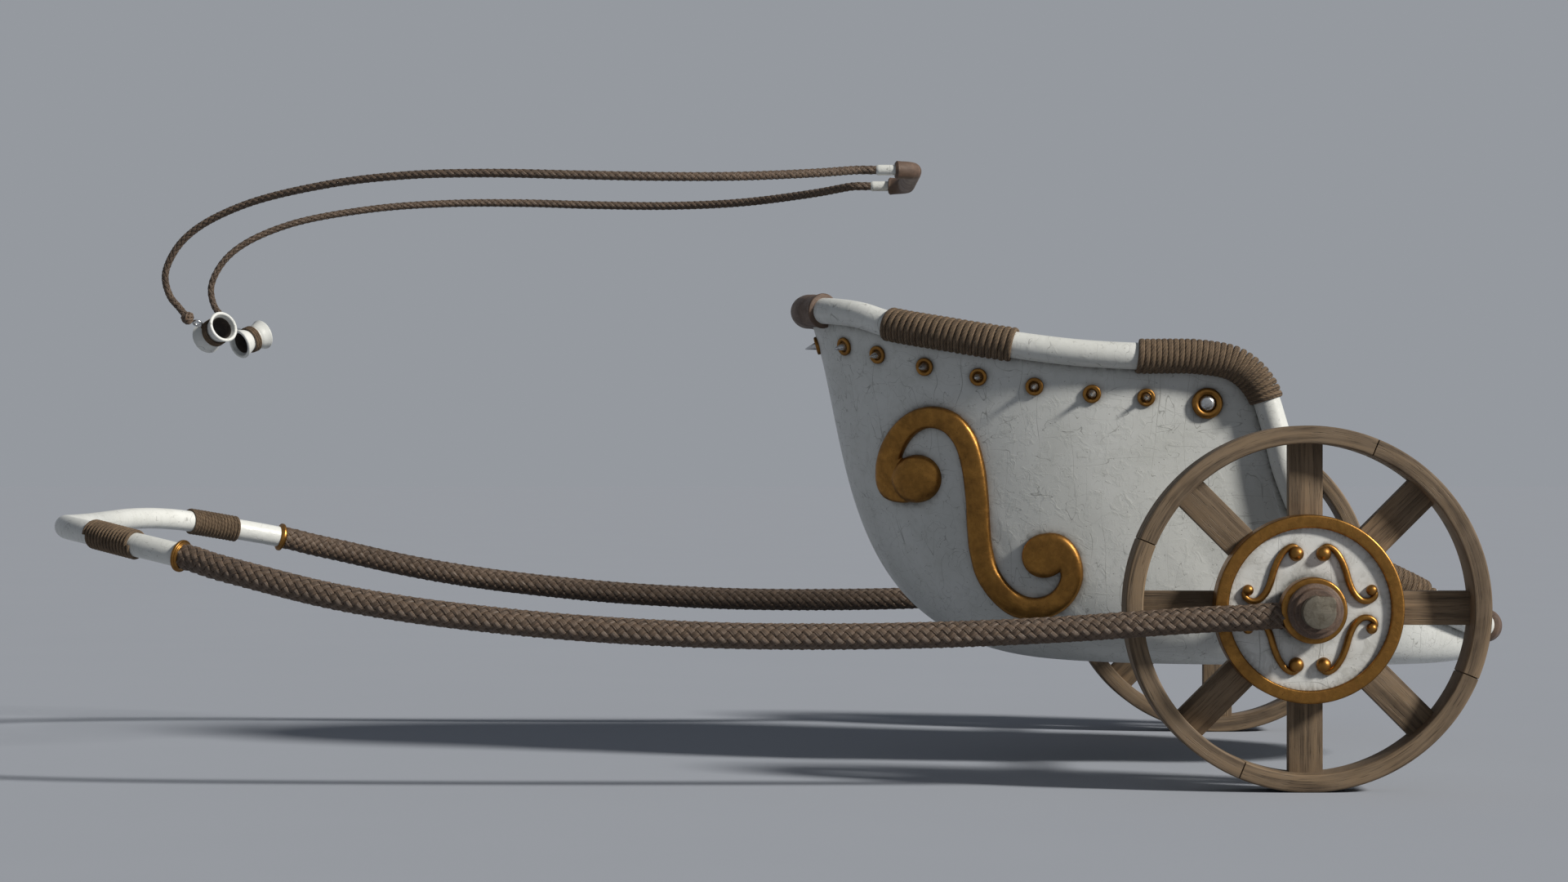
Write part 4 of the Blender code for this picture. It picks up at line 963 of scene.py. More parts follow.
PAINT = PaintFinish("paint_worn", (0.68, 0.69, 0.66), (0.45, 0.455, 0.415), 0.36, Slot.PAINT)
# The shell's and the hub disc's paints carry painted shade.
SHELL_PAINT = PaintFinish("paint_shell", (0.63, 0.64, 0.615), (0.43, 0.44, 0.40), 0.38, Slot.PAINT,
                          grimy=True, scratched=0.57)
DISC_PAINT = PaintFinish("paint_disc", (0.70, 0.705, 0.68), (0.38, 0.375, 0.34), 0.50, Slot.PAINT,
                         grimy=True, cloudy=0.75)
BRONZE = BronzeFinish("bronze_old", (0.300, 0.148, 0.036), (0.095, 0.048, 0.018), 0.34, Slot.BRONZE, 1.0)
WOOD = WoodFinish("wood_grey", (0.205, 0.138, 0.076), (0.066, 0.043, 0.024), 0.72, Slot.WOOD)
# The cord's and the plait's dark colours are painted shade in their grooves.
CORD = StrandFinish("cord_brown", (0.188, 0.124, 0.070), (0.062, 0.041, 0.024), 0.86, Slot.CORD)
PLAIT = StrandFinish("plait_leather", (0.128, 0.083, 0.051), (0.040, 0.026, 0.017), 0.60, Slot.PLAIT,
                     lay=18.0, strands=6.0, depth=0.0006)
LEATHER = LeatherFinish("leather_brown", (0.135, 0.082, 0.052), (0.075, 0.045, 0.03), 0.55, Slot.LEATHER)
# A near-black sheet just inside each cuff's bore: painted shade.
BORE_SHADE = LeatherFinish("lining_dark", (0.040, 0.030, 0.022), (0.018, 0.014, 0.011), 0.80, Slot.LEATHER)
STEEL = MetalFinish("steel_bright", (0.62, 0.63, 0.64), (0.30, 0.30, 0.30), 0.24, Slot.STEEL, 1.0)
IRON = MetalFinish("iron_dull", (0.200, 0.178, 0.138), (0.085, 0.071, 0.052), 0.48, Slot.IRON, 0.75)
FLOOR = FloorFinish("studio_floor", (0.353, 0.377, 0.421), (0.350, 0.374, 0.418), 0.9, Slot.PAINT)
FINISHES = (PAINT, SHELL_PAINT, DISC_PAINT, BRONZE, WOOD, CORD, PLAIT, LEATHER, BORE_SHADE, STEEL, IRON,
            FLOOR)


class Builder:
    """A Geometry Nodes tree that turns one object into a finished mesh."""

    title = ""
    values: dict[str, tuple[str, object]] = {}

    def __init__(self) -> None:
        """Build the tree with its named inputs."""
        self.tree = bpy.data.node_groups.new(self.title, "GeometryNodeTree")
        self.tree.is_modifier = True
        self.graph = Graph(self.tree)
        interface = self.tree.interface
        interface.new_socket(name="Geometry", in_out="INPUT", socket_type="NodeSocketGeometry")
        for name, (kind, value) in self.values.items():
            socket = interface.new_socket(name=name, in_out="INPUT", socket_type=kind)
            if value is not None:
                socket.default_value = value
        interface.new_socket(name="Geometry", in_out="OUTPUT", socket_type="NodeSocketGeometry")
        given = self.graph.add("NodeGroupInput")
        result = self.graph.add("NodeGroupOutput")
        shape = self.wire({socket.name: socket for socket in given.outputs})
        real = self.graph.add("GeometryNodeRealizeInstances", {"Geometry": shape})
        dressed = self.graph.add("GeometryNodeSetMaterial", {
            "Geometry": real.outputs["Geometry"], "Material": given.outputs["Material"]})
        self.graph.feed(result.inputs["Geometry"], dressed.outputs["Geometry"])

    def wire(self, given: dict) -> bpy.types.NodeSocket:
        """Wire the tree's own nodes and return the geometry that they make."""
        raise NotImplementedError

    def run(self, source: bpy.types.Object, name: str, **values: object) -> bpy.types.Object:
        """Evaluate the tree on an object and return the plain mesh object it makes.

        Args:
            source: the object that the tree reads, which is then removed.
            name: the name of the new object.
            **values: the tree's inputs, with underscores for spaces.

        Returns:
            The new mesh object.
        """
        step = source.modifiers.new(self.title, "NODES")
        step.node_group = self.tree
        named = {key.replace("_", " "): value for key, value in values.items()}
        for item in self.tree.interface.items_tree:
            if item.in_out == "INPUT" and item.name in named:
                step[item.identifier] = named[item.name]
        source.update_tag()
        mesh = plain_mesh(source, name)
        bpy.data.objects.remove(source, do_unlink=True)
        LOG.info("%s from %s: %d faces", name, self.title, len(mesh.polygons))
        return link_object(name, mesh)

    def turned_about(self, path: bpy.types.NodeSocket, angle: object, reach: object) -> tuple:
        """Move the points of a curve out from it at an angle and a distance.

        Args:
            path: the curve.
            angle: the angle of each point about the curve.
            reach: the distance of each point from the curve.

        Returns:
            The moved curve, with its normals pointing away from the first one.
        """
        graph = self.graph
        normal = graph.add("GeometryNodeInputNormal").outputs["Normal"]
        run = graph.add("GeometryNodeInputTangent").outputs["Tangent"]
        side = graph.add("ShaderNodeVectorMath", {0: run, 1: normal}, operation="CROSS_PRODUCT")
        first = graph.scaled(normal, graph.math("COSINE", angle))
        second = graph.scaled(side.outputs[0], graph.math("SINE", angle))
        arm = graph.add("ShaderNodeVectorMath", {0: first, 1: second}, operation="ADD")
        kept = graph.add("GeometryNodeCaptureAttribute", {"Geometry": path})
        kept.capture_items.new("VECTOR", "Arm")
        graph.feed(kept.inputs["Arm"], arm.outputs[0])
        moved = graph.add("GeometryNodeSetPosition", {
            "Geometry": kept.outputs["Geometry"], "Offset": graph.scaled(kept.outputs["Arm"], reach)})
        facing = graph.add("GeometryNodeSetCurveNormal", {
            "Curve": moved.outputs["Geometry"], "Normal": kept.outputs["Arm"]}, mode="FREE")
        return facing.outputs["Curve"]

    def stored(self, shape: object, name: str, value: object) -> bpy.types.NodeSocket:
        """Return a shape whose points store a value under a name."""
        node = self.graph.add("GeometryNodeStoreNamedAttribute", {
            "Geometry": shape, "Name": name, "Value": value}, data_type="FLOAT", domain="POINT")
        return node.outputs["Geometry"]

    def strand(self, path: object, thick: object, wide: object, sides: int,
               size: object = 1.0) -> bpy.types.NodeSocket:
        """Return a flattened strand along a curve, with its along and round attributes.

        Args:
            path: the curve.
            thick: the strand's height off the core.
            wide: the strand's width.
            sides: how many faces go round it.
            size: the share of its section that is left at each point.

        Returns:
            The strand's mesh.
        """
        graph = self.graph
        spline = graph.add("GeometryNodeSplineParameter").outputs
        along = self.stored(path, "along", spline["Length"])
        ring = graph.add("GeometryNodeCurvePrimitiveCircle", {"Resolution": sides, "Radius": 0.5})
        section = graph.add("ShaderNodeCombineXYZ", {0: thick, 1: wide, 2: 1.0})
        shaped = graph.add("GeometryNodeTransform", {
            "Geometry": ring.outputs["Curve"], "Scale": section.outputs[0]})
        profile = self.stored(shaped.outputs["Geometry"], "round", spline["Factor"])
        tube = graph.add("GeometryNodeCurveToMesh", {
            "Curve": along, "Profile Curve": profile, "Scale": size, "Fill Caps": True})
        return tube.outputs["Mesh"]


class WindingTree(Builder):
    """One cord wound in a helix round a curve, turn against turn."""

    title = "winding"
    values = {
        "Turns": ("NodeSocketFloat", 10.0),
        "Steps": ("NodeSocketInt", 24),
        "Radius": ("NodeSocketFloat", 0.04),
        "Thickness": ("NodeSocketFloat", 0.011),
        "Width": ("NodeSocketFloat", 0.016),
        "Unevenness": ("NodeSocketFloat", 0.0012),
        "Seed": ("NodeSocketFloat", 0.0),
        "Material": ("NodeSocketMaterial", None),
    }

    def wire(self, given: dict) -> bpy.types.NodeSocket:
        """Wire the helix and its cord."""
        graph = self.graph
        count = graph.add("FunctionNodeFloatToInt", {
            0: graph.math("MULTIPLY_ADD", given["Turns"], given["Steps"], 1.0)})
        path = graph.add("GeometryNodeResampleCurve", {
            "Curve": given["Geometry"], "Count": count.outputs[0]})
        upright = graph.add("GeometryNodeSetCurveNormal", {"Curve": path.outputs["Curve"]},
                            mode="Z_UP")
        factor = graph.add("GeometryNodeSplineParameter").outputs["Factor"]
        turns = graph.times(factor, given["Turns"])
        angle = graph.times(turns, 2 * math.pi)
        sway = graph.add("ShaderNodeTexNoise", {"W": graph.math("ADD", turns, given["Seed"]),
                                                "Scale": 0.8, "Detail": 2.0}, noise_dimensions="1D")
        swing = graph.times(graph.math("SUBTRACT", sway.outputs["Fac"], 0.5), given["Unevenness"])
        reach = graph.math("ADD", given["Radius"], swing)
        helix = self.turned_about(upright.outputs["Curve"], angle, reach)
        return self.strand(helix, given["Thickness"], given["Width"], 12)


class PlaitTree(Builder):
    """Strands plaited one over and one under round a core."""

    title = "plait"
    values = {
        "Strands": ("NodeSocketInt", 8),
        "Turns": ("NodeSocketFloat", 10.0),
        "Points": ("NodeSocketInt", 400),
        "Radius": ("NodeSocketFloat", 0.03),
        "Relief": ("NodeSocketFloat", 0.002),
        "Thickness": ("NodeSocketFloat", 0.005),
        "Width": ("NodeSocketFloat", 0.016),
        "Core": ("NodeSocketFloat", 0.027),
        "Slimming": ("NodeSocketFloat", 0.0),
        "Material": ("NodeSocketMaterial", None),
    }

    def wire(self, given: dict) -> bpy.types.NodeSocket:
        """Wire the strands of both ways and the core that they cover."""
        graph = self.graph
        path = graph.add("GeometryNodeResampleCurve", {
            "Curve": given["Geometry"], "Count": given["Points"]}).outputs["Curve"]
        both = graph.times(given["Strands"], 2.0)
        copies = graph.add("GeometryNodeDuplicateElements", {"Geometry": path, "Amount": both},
                           domain="SPLINE")
        index = copies.outputs["Duplicate Index"]
        second = graph.math("GREATER_THAN", graph.math("ADD", index, 0.5), given["Strands"])
        sign = graph.math("MULTIPLY_ADD", second, -2.0, 1.0)
        number = graph.math("SUBTRACT", index, graph.times(second, given["Strands"]))
        kept = graph.add("GeometryNodeCaptureAttribute", {"Geometry": copies.outputs["Geometry"]},
                         domain="CURVE")
        for name, value in (("Sign", sign), ("Number", number)):
            kept.capture_items.new("FLOAT", name)
            graph.feed(kept.inputs[name], value)
        sign, number = kept.outputs["Sign"], kept.outputs["Number"]
        factor = graph.add("GeometryNodeSplineParameter").outputs["Factor"]
        turns = graph.times(factor, given["Turns"])
        start = graph.math("DIVIDE", number, given["Strands"])
        angle = graph.math("MULTIPLY_ADD", sign, turns, start)
        angle = graph.times(angle, 2 * math.pi)
        crossings = graph.times(turns, both)
        wave = graph.math("COSINE", graph.times(crossings, math.pi))
        lift = graph.times(graph.times(wave, sign), given["Relief"])
        thinner = graph.times(graph.band(factor, 0.35, 1.0), given["Slimming"])
        size = graph.math("SUBTRACT", 1.0, thinner)
        reach = graph.times(graph.math("ADD", given["Radius"], lift), size)
        strands = self.turned_about(kept.outputs["Geometry"], angle, reach)
        plaited = self.strand(strands, given["Thickness"], given["Width"], 8, size)
        ring = graph.add("GeometryNodeCurvePrimitiveCircle", {"Resolution": 20,
                                                              "Radius": given["Core"]})
        core = graph.add("GeometryNodeCurveToMesh", {
            "Curve": path, "Profile Curve": ring.outputs["Curve"], "Scale": size,
            "Fill Caps": True})
        joined = graph.add("GeometryNodeJoinGeometry")
        graph.tree.links.new(plaited, joined.inputs["Geometry"])
        graph.tree.links.new(core.outputs["Mesh"], joined.inputs["Geometry"])
        return joined.outputs["Geometry"]


class ScatterTree(Builder):
    """A prototype set on each point, facing the way of its facing attribute."""

    title = "scatter"
    values = {
        "Prototype": ("NodeSocketObject", None),
        "Least Size": ("NodeSocketFloat", 0.96),
        "Most Size": ("NodeSocketFloat", 1.04),
        "Seed": ("NodeSocketInt", 3),
        "Material": ("NodeSocketMaterial", None),
    }

    def wire(self, given: dict) -> bpy.types.NodeSocket:
        """Wire the copies, each turned at random about its own axis."""
        graph = self.graph
        shape = graph.add("GeometryNodeObjectInfo", {"Object": given["Prototype"]})
        facing = graph.add("GeometryNodeInputNamedAttribute", {"Name": "facing"},
                           data_type="FLOAT_VECTOR")
        turn = graph.add("FunctionNodeAlignRotationToVector", {"Vector": facing.outputs[0]}, axis="Z")
        chance = graph.add("FunctionNodeRandomValue", data_type="FLOAT")
        scalars = [socket for socket in chance.inputs if socket.type == "VALUE"]
        graph.feed(scalars[0], given["Least Size"])
        graph.feed(scalars[1], given["Most Size"])
        graph.feed(chance.inputs["Seed"], given["Seed"])
        sizes = [socket for socket in chance.outputs if socket.type == "VALUE"]
        spots = graph.add("GeometryNodeInstanceOnPoints", {
            "Points": given["Geometry"], "Instance": shape.outputs["Geometry"],
            "Rotation": turn.outputs[0], "Scale": sizes[0]})
        return spots.outputs["Instances"]


class Workshop:
    """What every sub-assembly shares: the finishes and the Geometry Nodes trees."""

    def __init__(self) -> None:
        """Build the shared effects, materials and trees."""
        effects = Effects()
        self.materials = {finish.name: finish.build(effects) for finish in FINISHES}
        self.winding = WindingTree()
        self.plait = PlaitTree()
        self.scatter = ScatterTree()

    def material(self, finish: Finish) -> bpy.types.Material:
        """Return a finish's material."""
        return self.materials[finish.name]

    def dress(self, item: bpy.types.Object, finish: Finish) -> bpy.types.Object:
        """Give an object one finish and return it."""
        item.data.materials.clear()
        item.data.materials.append(self.material(finish))
        return item

    def settle(self, item: bpy.types.Object, body: str, finish: Finish,
               *nodes: str) -> bpy.types.Object:
        """Dress a piece, set it in the frame and hide the nodes that it stands for.

        Args:
            item: the piece, with its points measured from the axle's middle.
            body: the body that carries it.
            finish: its finish.
            *nodes: the nodes that it stands for.

        Returns:
            The piece.
        """
        self.dress(item, finish)
        item.data.transform(Matrix.Translation((AXLE_X, 0.0, 0.0)))
        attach(item, body)
        if nodes:
            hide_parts(*nodes)
        LOG.info("piece %s on %s: %d faces", item.name, body, len(item.data.polygons))
        return item

    def pair(self, right: bpy.types.Object, body: str, name: str, finish: Finish,
             node: str) -> None:
        """Settle a right-hand piece and its mirror image.

        Args:
            right: the right-hand piece.
            body: the body that carries both.
            name: the pieces' name, without the side.
            finish: their finish.
            node: the node that each stands for, without the side.
        """
        right.name = name + "_right"
        left = mirror_copy(right, name + "_left")
        for item, side in ((right, Side.RIGHT), (left, Side.LEFT)):
            self.settle(item, body, finish, f"{node}_{side.word}")

    def path_object(self, points: np.ndarray, name: str) -> bpy.types.Object:
        """Add an open curve through points, for a tree to read."""
        curve = bpy.data.curves.new(name, "CURVE")
        curve.dimensions = "3D"
        spline = curve.splines.new("POLY")
        spline.points.add(len(points) - 1)
        for target, point in zip(spline.points, points):
            target.co = (*point, 1.0)
        return link_object(name, curve)

    def spots_object(self, places: np.ndarray, facings: np.ndarray, name: str) -> bpy.types.Object:
        """Add loose points that carry the way they face, for a tree to read."""
        mesh = bpy.data.meshes.new(name)
        mesh.from_pydata([tuple(place) for place in places], [], [])
        layer = mesh.attributes.new("facing", "FLOAT_VECTOR", "POINT")
        layer.data.foreach_set("vector", np.asarray(facings, dtype=np.float32).ravel())
        return link_object(name, mesh)


@dataclass
class Rail:
    """The rail's line round the car, with the stretches that something covers."""

    side_view: tuple = (
        (-1.225, 1.214), (-1.092, 1.198), (-1.017, 1.173), (-0.859, 1.142), (-0.680, 1.112),
        (-0.522, 1.092), (-0.374, 1.083), (-0.200, 1.080), (-0.110, 1.060), (-0.050, 1.004),
        (-0.013, 0.904), (0.022, 0.775), (0.082, 0.648), (0.205, 0.545), (0.360, 0.466),
        (0.470, 0.412), (0.560, 0.376), (0.616, 0.362),
    )
    prow_widest_x: float = -0.350
    tail_widest_x: float = 0.100
    side_wrap_behind_prow: tuple = (0.208, 0.545)
    corner_wrap_start_x: float = -0.374
    corner_wrap_length: float = 0.395
    tail_wrap_x: tuple = (0.270, 0.392)
    front_cap_half: float = 0.155
    tail_cap_half: float = 0.170
    half: Line = field(init=False)

    def __post_init__(self) -> None:
        """Work out the right half of the rail's centreline, from the prow to the tail."""
        side = smooth_route([(x, z, 0.0) for x, z in self.side_view], 1200)
        quarter = np.linspace(0, math.pi / 2, 120)
        front = PROW_REACH + self.prow_widest_x
        rear = TAIL_REACH - self.tail_widest_x
        middle = side[(side[:, 0] > self.prow_widest_x) & (side[:, 0] < self.tail_widest_x), 0]
        xs = np.concatenate([self.prow_widest_x - front * np.cos(quarter), middle,
                             self.tail_widest_x + rear * np.sin(quarter)])
        ys = np.concatenate([CAR_HALF_WIDTH * np.sin(quarter), np.full(len(middle), CAR_HALF_WIDTH),
                             CAR_HALF_WIDTH * np.cos(quarter)])
        heights = np.interp(xs, side[:, 0], side[:, 1])
        self.half = Line(even_points(np.column_stack([xs, ys, heights]), 1800))

    def outward(self, distances: np.ndarray) -> np.ndarray:
        """Return the level directions that point out of the car."""
        run = self.half.read(self.half.slopes, distances)
        return unit(np.column_stack([-run[:, 1], run[:, 0], np.zeros(len(run))]))

    def covers(self) -> dict[str, tuple[float, float]]:
        """Return the stretches that a leather cap or a winding goes round."""
        corner = self.half.distance_at_x(self.corner_wrap_start_x)
        side = tuple(self.half.distance_at_x(x - PROW_REACH) for x in self.side_wrap_behind_prow)
        return {
            "front_cap": (0.0, self.front_cap_half),
            "side_wrap": side,
            "corner_wrap": (corner, corner + self.corner_wrap_length),
            "tail_wrap": tuple(self.half.distance_at_x(x) for x in self.tail_wrap_x),
            "tail_cap": (self.half.length - self.tail_cap_half, self.half.length),
        }

    def height_at_x(self, x: float) -> float:
        """Return the height of the rail's centreline at an x."""
        return float(self.half.at(np.array([self.half.distance_at_x(x)]))[0, 2])


@dataclass
class Hull:
    """The car's shell, whose ribs run from under the rail down to a flat bottom."""

    rail: Rail
    wall: float = 0.012
    wall_room: float = 1.25
    lip_rise: float = 0.008
    bottom_z: float = 0.271
    bottom_half_width: float = 0.300
    bottom_front_x: float = -0.500
    bottom_rear_x: float = 0.520
    stem_lean: float = 0.350
    side_lean: float = 0.040
    stem_handle: float = 0.360
    bilge_handle: float = 0.930
    least_sweep: float = 0.02
    edge: float = 0.031
    edge_tilt: float = math.pi / 8
    stations: int = 250
    rows: int = 76
    inner_rows: int = 26
    row_crowding: float = 1.25
    merge_gap: float = 0.00005
    sliver: float = 0.00002
    outer: np.ndarray = field(init=False)
    skin: BVHTree = field(init=False)

    def __post_init__(self) -> None:
        """Work out the right half's ribs and the surface that ornaments are seated on."""
        distances = np.linspace(0, self.rail.half.length, self.stations)
        self.outer = self.ribs(distances, np.linspace(0, 1, self.rows + 1) ** self.row_crowding)
        points = self.outer.reshape(-1, 3)
        width = self.rows + 1
        faces = []
        for station in range(self.stations - 1):
            for row in range(self.rows):
                corner = station * width + row
                faces.append((corner, corner + 1, corner + width + 1, corner + width))
        self.skin = BVHTree.FromPolygons([tuple(p) for p in points], faces)

    def ribs(self, distances: np.ndarray, shares: np.ndarray) -> np.ndarray:
        """Return ribs at distances along the rail, each at the shares of its length."""
        centres = self.rail.half.at(distances)
        run = unit(self.rail.half.read(self.rail.half.slopes, distances))
        out = self.rail.outward(distances)
        fall = np.array([0.0, 0.0, -1.0])
        down = unit(fall - run * (run @ fall)[:, None])
        inward = unit(-out + run * np.sum(run * out, axis=1)[:, None])
        aim = unit(down * math.cos(self.edge_tilt) + inward * math.sin(self.edge_tilt))
        start = centres + self.edge * aim
        share = (centres[:, 0] + PROW_REACH) / (PROW_REACH + TAIL_REACH)
        end = np.column_stack([
            self.bottom_front_x + share * (self.bottom_rear_x - self.bottom_front_x),
            self.bottom_half_width * centres[:, 1] / CAR_HALF_WIDTH,
            np.full(len(centres), self.bottom_z),
        ])
        lean = self.side_lean + (self.stem_lean - self.side_lean) * np.maximum(0.0, -out[:, 0])
        height = (start[:, 2] - end[:, 2])[:, None]
        first = start + self.stem_handle * height * (
            fall * np.cos(lean)[:, None] - out * np.sin(lean)[:, None])
        sweep = np.maximum(self.least_sweep, np.sum((start - end) * out, axis=1))[:, None]
        second = end + out * self.bilge_handle * sweep
        t = shares[None, :, None]
        parts = [part[:, None, :] for part in (start, first, second, end)]
        ribs = ((1 - t) ** 3 * parts[0] + 3 * (1 - t) ** 2 * t * parts[1]
                + 3 * (1 - t) * t**2 * parts[2] + t**3 * parts[3])
        ribs[0, :, 1] = 0.0
        ribs[-1, :, 1] = 0.0
        return ribs

    def inner(self) -> np.ndarray:
        """Return the right half of the inner skin, one wall's thickness in."""
        distances = np.linspace(0, self.rail.half.length, self.stations)
        ribs = self.ribs(distances, np.linspace(0, 1, self.inner_rows + 1))
        along = np.gradient(ribs, axis=0)
        down = np.gradient(ribs, axis=1)
        normal = unit(np.cross(along, down))
        normal[[0, -1], :, 1] = 0.0
        normal = unit(normal)
        middle = normal[self.stations // 2, self.inner_rows // 3]
        sense = -1.0 if middle[1] > 0 else 1.0
        inner = ribs + normal * self.wall * sense
        inner[:, -1, :2] = ribs[:, -1, :2]
        inner[..., 2] = np.maximum(inner[..., 2], self.bottom_z + self.wall)
        inner[..., 1] = np.maximum(inner[..., 1], 0.0)
        inner[:, 0, 2] += self.lip_rise
        inner[[0, -1], :, 1] = 0.0
        return inner

    def hit(self, place: Sequence[float], direction: Sequence[float]) -> tuple[Vector, Vector]:
        """Return where a ray meets the outer skin and the way its surface faces."""
        spot, normal, _, _ = self.skin.ray_cast(Vector(place), Vector(direction))
        if spot is None:
            raise ValueError(f"no skin on the way from {tuple(place)}")
        if normal.dot(Vector(direction)) > 0:
            normal = -normal
        return spot, normal

    def side(self, x: float, z: float, lift: float) -> np.ndarray:
        """Return the point of the right side at an x and a height, lifted off it."""
        spot, normal = self.hit((x, 2.0, z), (0.0, -1.0, 0.0))
        return np.array(spot + normal * lift)

    def build(self, name: str) -> bpy.types.Object:
        """Add the shell as one closed solid, bottom and wall included."""
        outer, inner = self.outer, self.inner()
        across = np.linspace(0, 1, 9)[1:-1]

        def bottom(ribs: np.ndarray) -> np.ndarray:
            """Return the flat stretch between the feet of the ribs and their mirror images."""
            right = ribs[:, -1:, :]
            return right * (1 - across)[None, :, None] + mirrored(right) * across[None, :, None]

        section = np.concatenate([
            outer, bottom(outer), mirrored(outer)[:, ::-1],
            mirrored(inner), bottom(inner)[:, ::-1], inner[:, ::-1],
        ], axis=1)
        item = Skin(section, loop_cols=True).add(name)
        with opened(item.data) as shell:
            bmesh.ops.remove_doubles(shell, verts=shell.verts, dist=self.merge_gap)
            bmesh.ops.dissolve_degenerate(shell, dist=self.sliver, edges=shell.edges)
            bmesh.ops.recalc_face_normals(shell, faces=shell.faces)
        item.data.shade_smooth()
        item.data.set_sharp_from_angle(angle=SHELL_CREASE)
        return item

    def board(self, level: float, inset: float, front: float | None,
              rear: float | None) -> np.ndarray:
        """Return the right half of a level outline that fits inside the shell.

        Args:
            level: the height at which the outline touches the inner skin.
            inset: its distance from the skin.
            front: the x that it starts at, or None for the shell's own.
            rear: the x that it ends at, or None for the shell's own.

        Returns:
            Rows of x and y, from the front to the rear.
        """
        spots = []
        for rib in self.outer[::2]:
            if rib[0, 2] <= level or rib[0, 1] < 0.01:
                continue
            heights = rib[::-1, 2]
            x = float(np.interp(level, heights, rib[::-1, 0]))
            y = float(np.interp(level, heights, rib[::-1, 1]))
            spots.append((x, y))
        outline = np.array(spots)
        runs = unit(np.gradient(outline, axis=0))
        inward = np.column_stack([runs[:, 1], -runs[:, 0]])
        outline = outline + inward * (self.wall * self.wall_room + inset)
        kept = outline[:, 1] > 0.0
        if front is not None:
            kept &= outline[:, 0] > front
        if rear is not None:
            kept &= outline[:, 0] < rear
        outline = outline[kept]
        if front is not None:
            outline = np.vstack([[front, outline[0, 1]], outline])
        if rear is not None:
            outline = np.vstack([outline, [rear, outline[-1, 1]]])
        return outline


def clip(outline: np.ndarray, low: float, high: float) -> list[Spot]:
    """Return the part of a level outline whose y lies between two values."""
    points = [tuple(point) for point in outline]
    for limit, sign in ((low, 1.0), (high, -1.0)):
        kept = []
        for here, after in zip(points, points[1:] + points[:1]):
            side_here = sign * (here[1] - limit)
            side_after = sign * (after[1] - limit)
            if side_here >= 0:
                kept.append(here)
            if side_here * side_after < 0:
                share = side_here / (side_here - side_after)
                kept.append((here[0] + share * (after[0] - here[0]),
                             here[1] + share * (after[1] - here[1])))
        points = kept
    return points


@dataclass(frozen=True)
class Eye:
    """One end of the scroll: a dome, whose top is flatter the squarer it is."""

    place: Spot
    radius: float
    height: float
    square: float


@dataclass
class Scroll:
    """The bronze scroll on the car's side: a rounded band between two eyes."""

    hull: Hull
    width: float = 0.058
    height: float = 0.021
    root: float = 0.006
    route: tuple = (
        (0.225, 0.290), (0.218, 0.350), (0.240, 0.415), (0.280, 0.460), (0.325, 0.475),
        (0.375, 0.461), (0.413, 0.418), (0.435, 0.350), (0.446, 0.270), (0.451, 0.190),
        (0.457, 0.130), (0.473, 0.070), (0.511, 0.012), (0.563, -0.023), (0.617, -0.026),
        (0.665, 0.000), (0.691, 0.050), (0.685, 0.102), (0.660, 0.136), (0.628, 0.143),
        (0.600, 0.128), (0.596, 0.105),
    )
    lead_in: tuple = ((0.318, 0.290), (0.292, 0.274), (0.258, 0.271))
    eyes: tuple = (Eye((0.290, 0.312), 0.064, 0.034, 2.2), Eye((0.621, 0.112), 0.058, 0.023, 4.0))
    across_square: float = 0.7
    rise_square: float = 0.62
    tip_share: float = 0.35
    tip_length: float = 0.14
    voxel: float = 0.0026
    ease_share: float = 0.5
    ease_rounds: int = 5

    def spot(self, place: Sequence[float]) -> Spot:
        """Return the x and the height of a place behind the prow and above the axle."""
        return place[0] - PROW_REACH, place[1] + AXLE_Z

    def centreline(self, count: int = 150) -> np.ndarray:
        """Return the x and the height of points along the band, lead-in included."""
        places = [(*self.spot(place), 0.0) for place in (*self.lead_in, *self.route)]
        return smooth_route(places, count)

    def band(self) -> bpy.types.Object:
        """Add the band, which follows the curve of the car's side."""
        path = Line(self.centreline())
        distances = np.linspace(0, path.length, 150)
        places, runs = path.at(distances), unit(path.read(path.slopes, distances))
        turns = np.linspace(0, math.pi, 15)
        across = np.sign(np.cos(turns)) * np.abs(np.cos(turns)) ** self.across_square
        rise = np.sin(turns) ** self.rise_square
        rings = []
        for index, (place, run) in enumerate(zip(places, runs)):
            taper = min(1.0, self.tip_share + distances[index] / self.tip_length)
            side = np.array([-run[1], run[0], 0.0]) * self.width / 2 * taper
            ring = [self.hull.side(*(place + side * a)[:2], self.height * taper * r)
                    for a, r in zip(across, rise)]
            ring += [self.hull.side(*(place + side * a)[:2], -self.root) for a in (-1.0, 0.0, 1.0)]
            rings.append(ring)
        return Skin(np.array(rings), loop_cols=True, capped=True).add("band")

    def ring(self, eye: Eye, reach: float, lift: float) -> list[np.ndarray]:
        """Return a ring of an eye's points, at a share of its radius and lifted off the side."""
        x, z = self.spot(eye.place)
        return [self.hull.side(x + eye.radius * reach * math.cos(a),
                               z + eye.radius * reach * math.sin(a), lift) for a in circle(48)]

    def dome(self, eye: Eye) -> bpy.types.Object:
        """Add one eye."""
        rings = []
        for reach in (0.02, *np.sin(np.linspace(0.1, math.pi / 2, 16))):
            share = (1 - reach**eye.square) ** (1 / eye.square) if reach < 1 else 0.0
            rings.append(self.ring(eye, reach, eye.height * share))
        rings.append(self.ring(eye, 1.0, -self.root))
        return Skin(np.array(rings), loop_cols=True, capped=True).add("eye")

    def build(self, name: str) -> bpy.types.Object:
        """Add the band and its eyes as one smooth casting."""
        whole = merge(name, [self.band(), *[self.dome(eye) for eye in self.eyes]])
        knit = whole.modifiers.new("knit", "REMESH")
        knit.mode = "VOXEL"
        knit.voxel_size = self.voxel
        knit.use_smooth_shade = True
        ease = whole.modifiers.new("ease", "SMOOTH")
        ease.factor = self.ease_share
        ease.iterations = self.ease_rounds
        mesh = plain_mesh(whole, name)
        whole.modifiers.clear()
        whole.data = mesh
        return whole


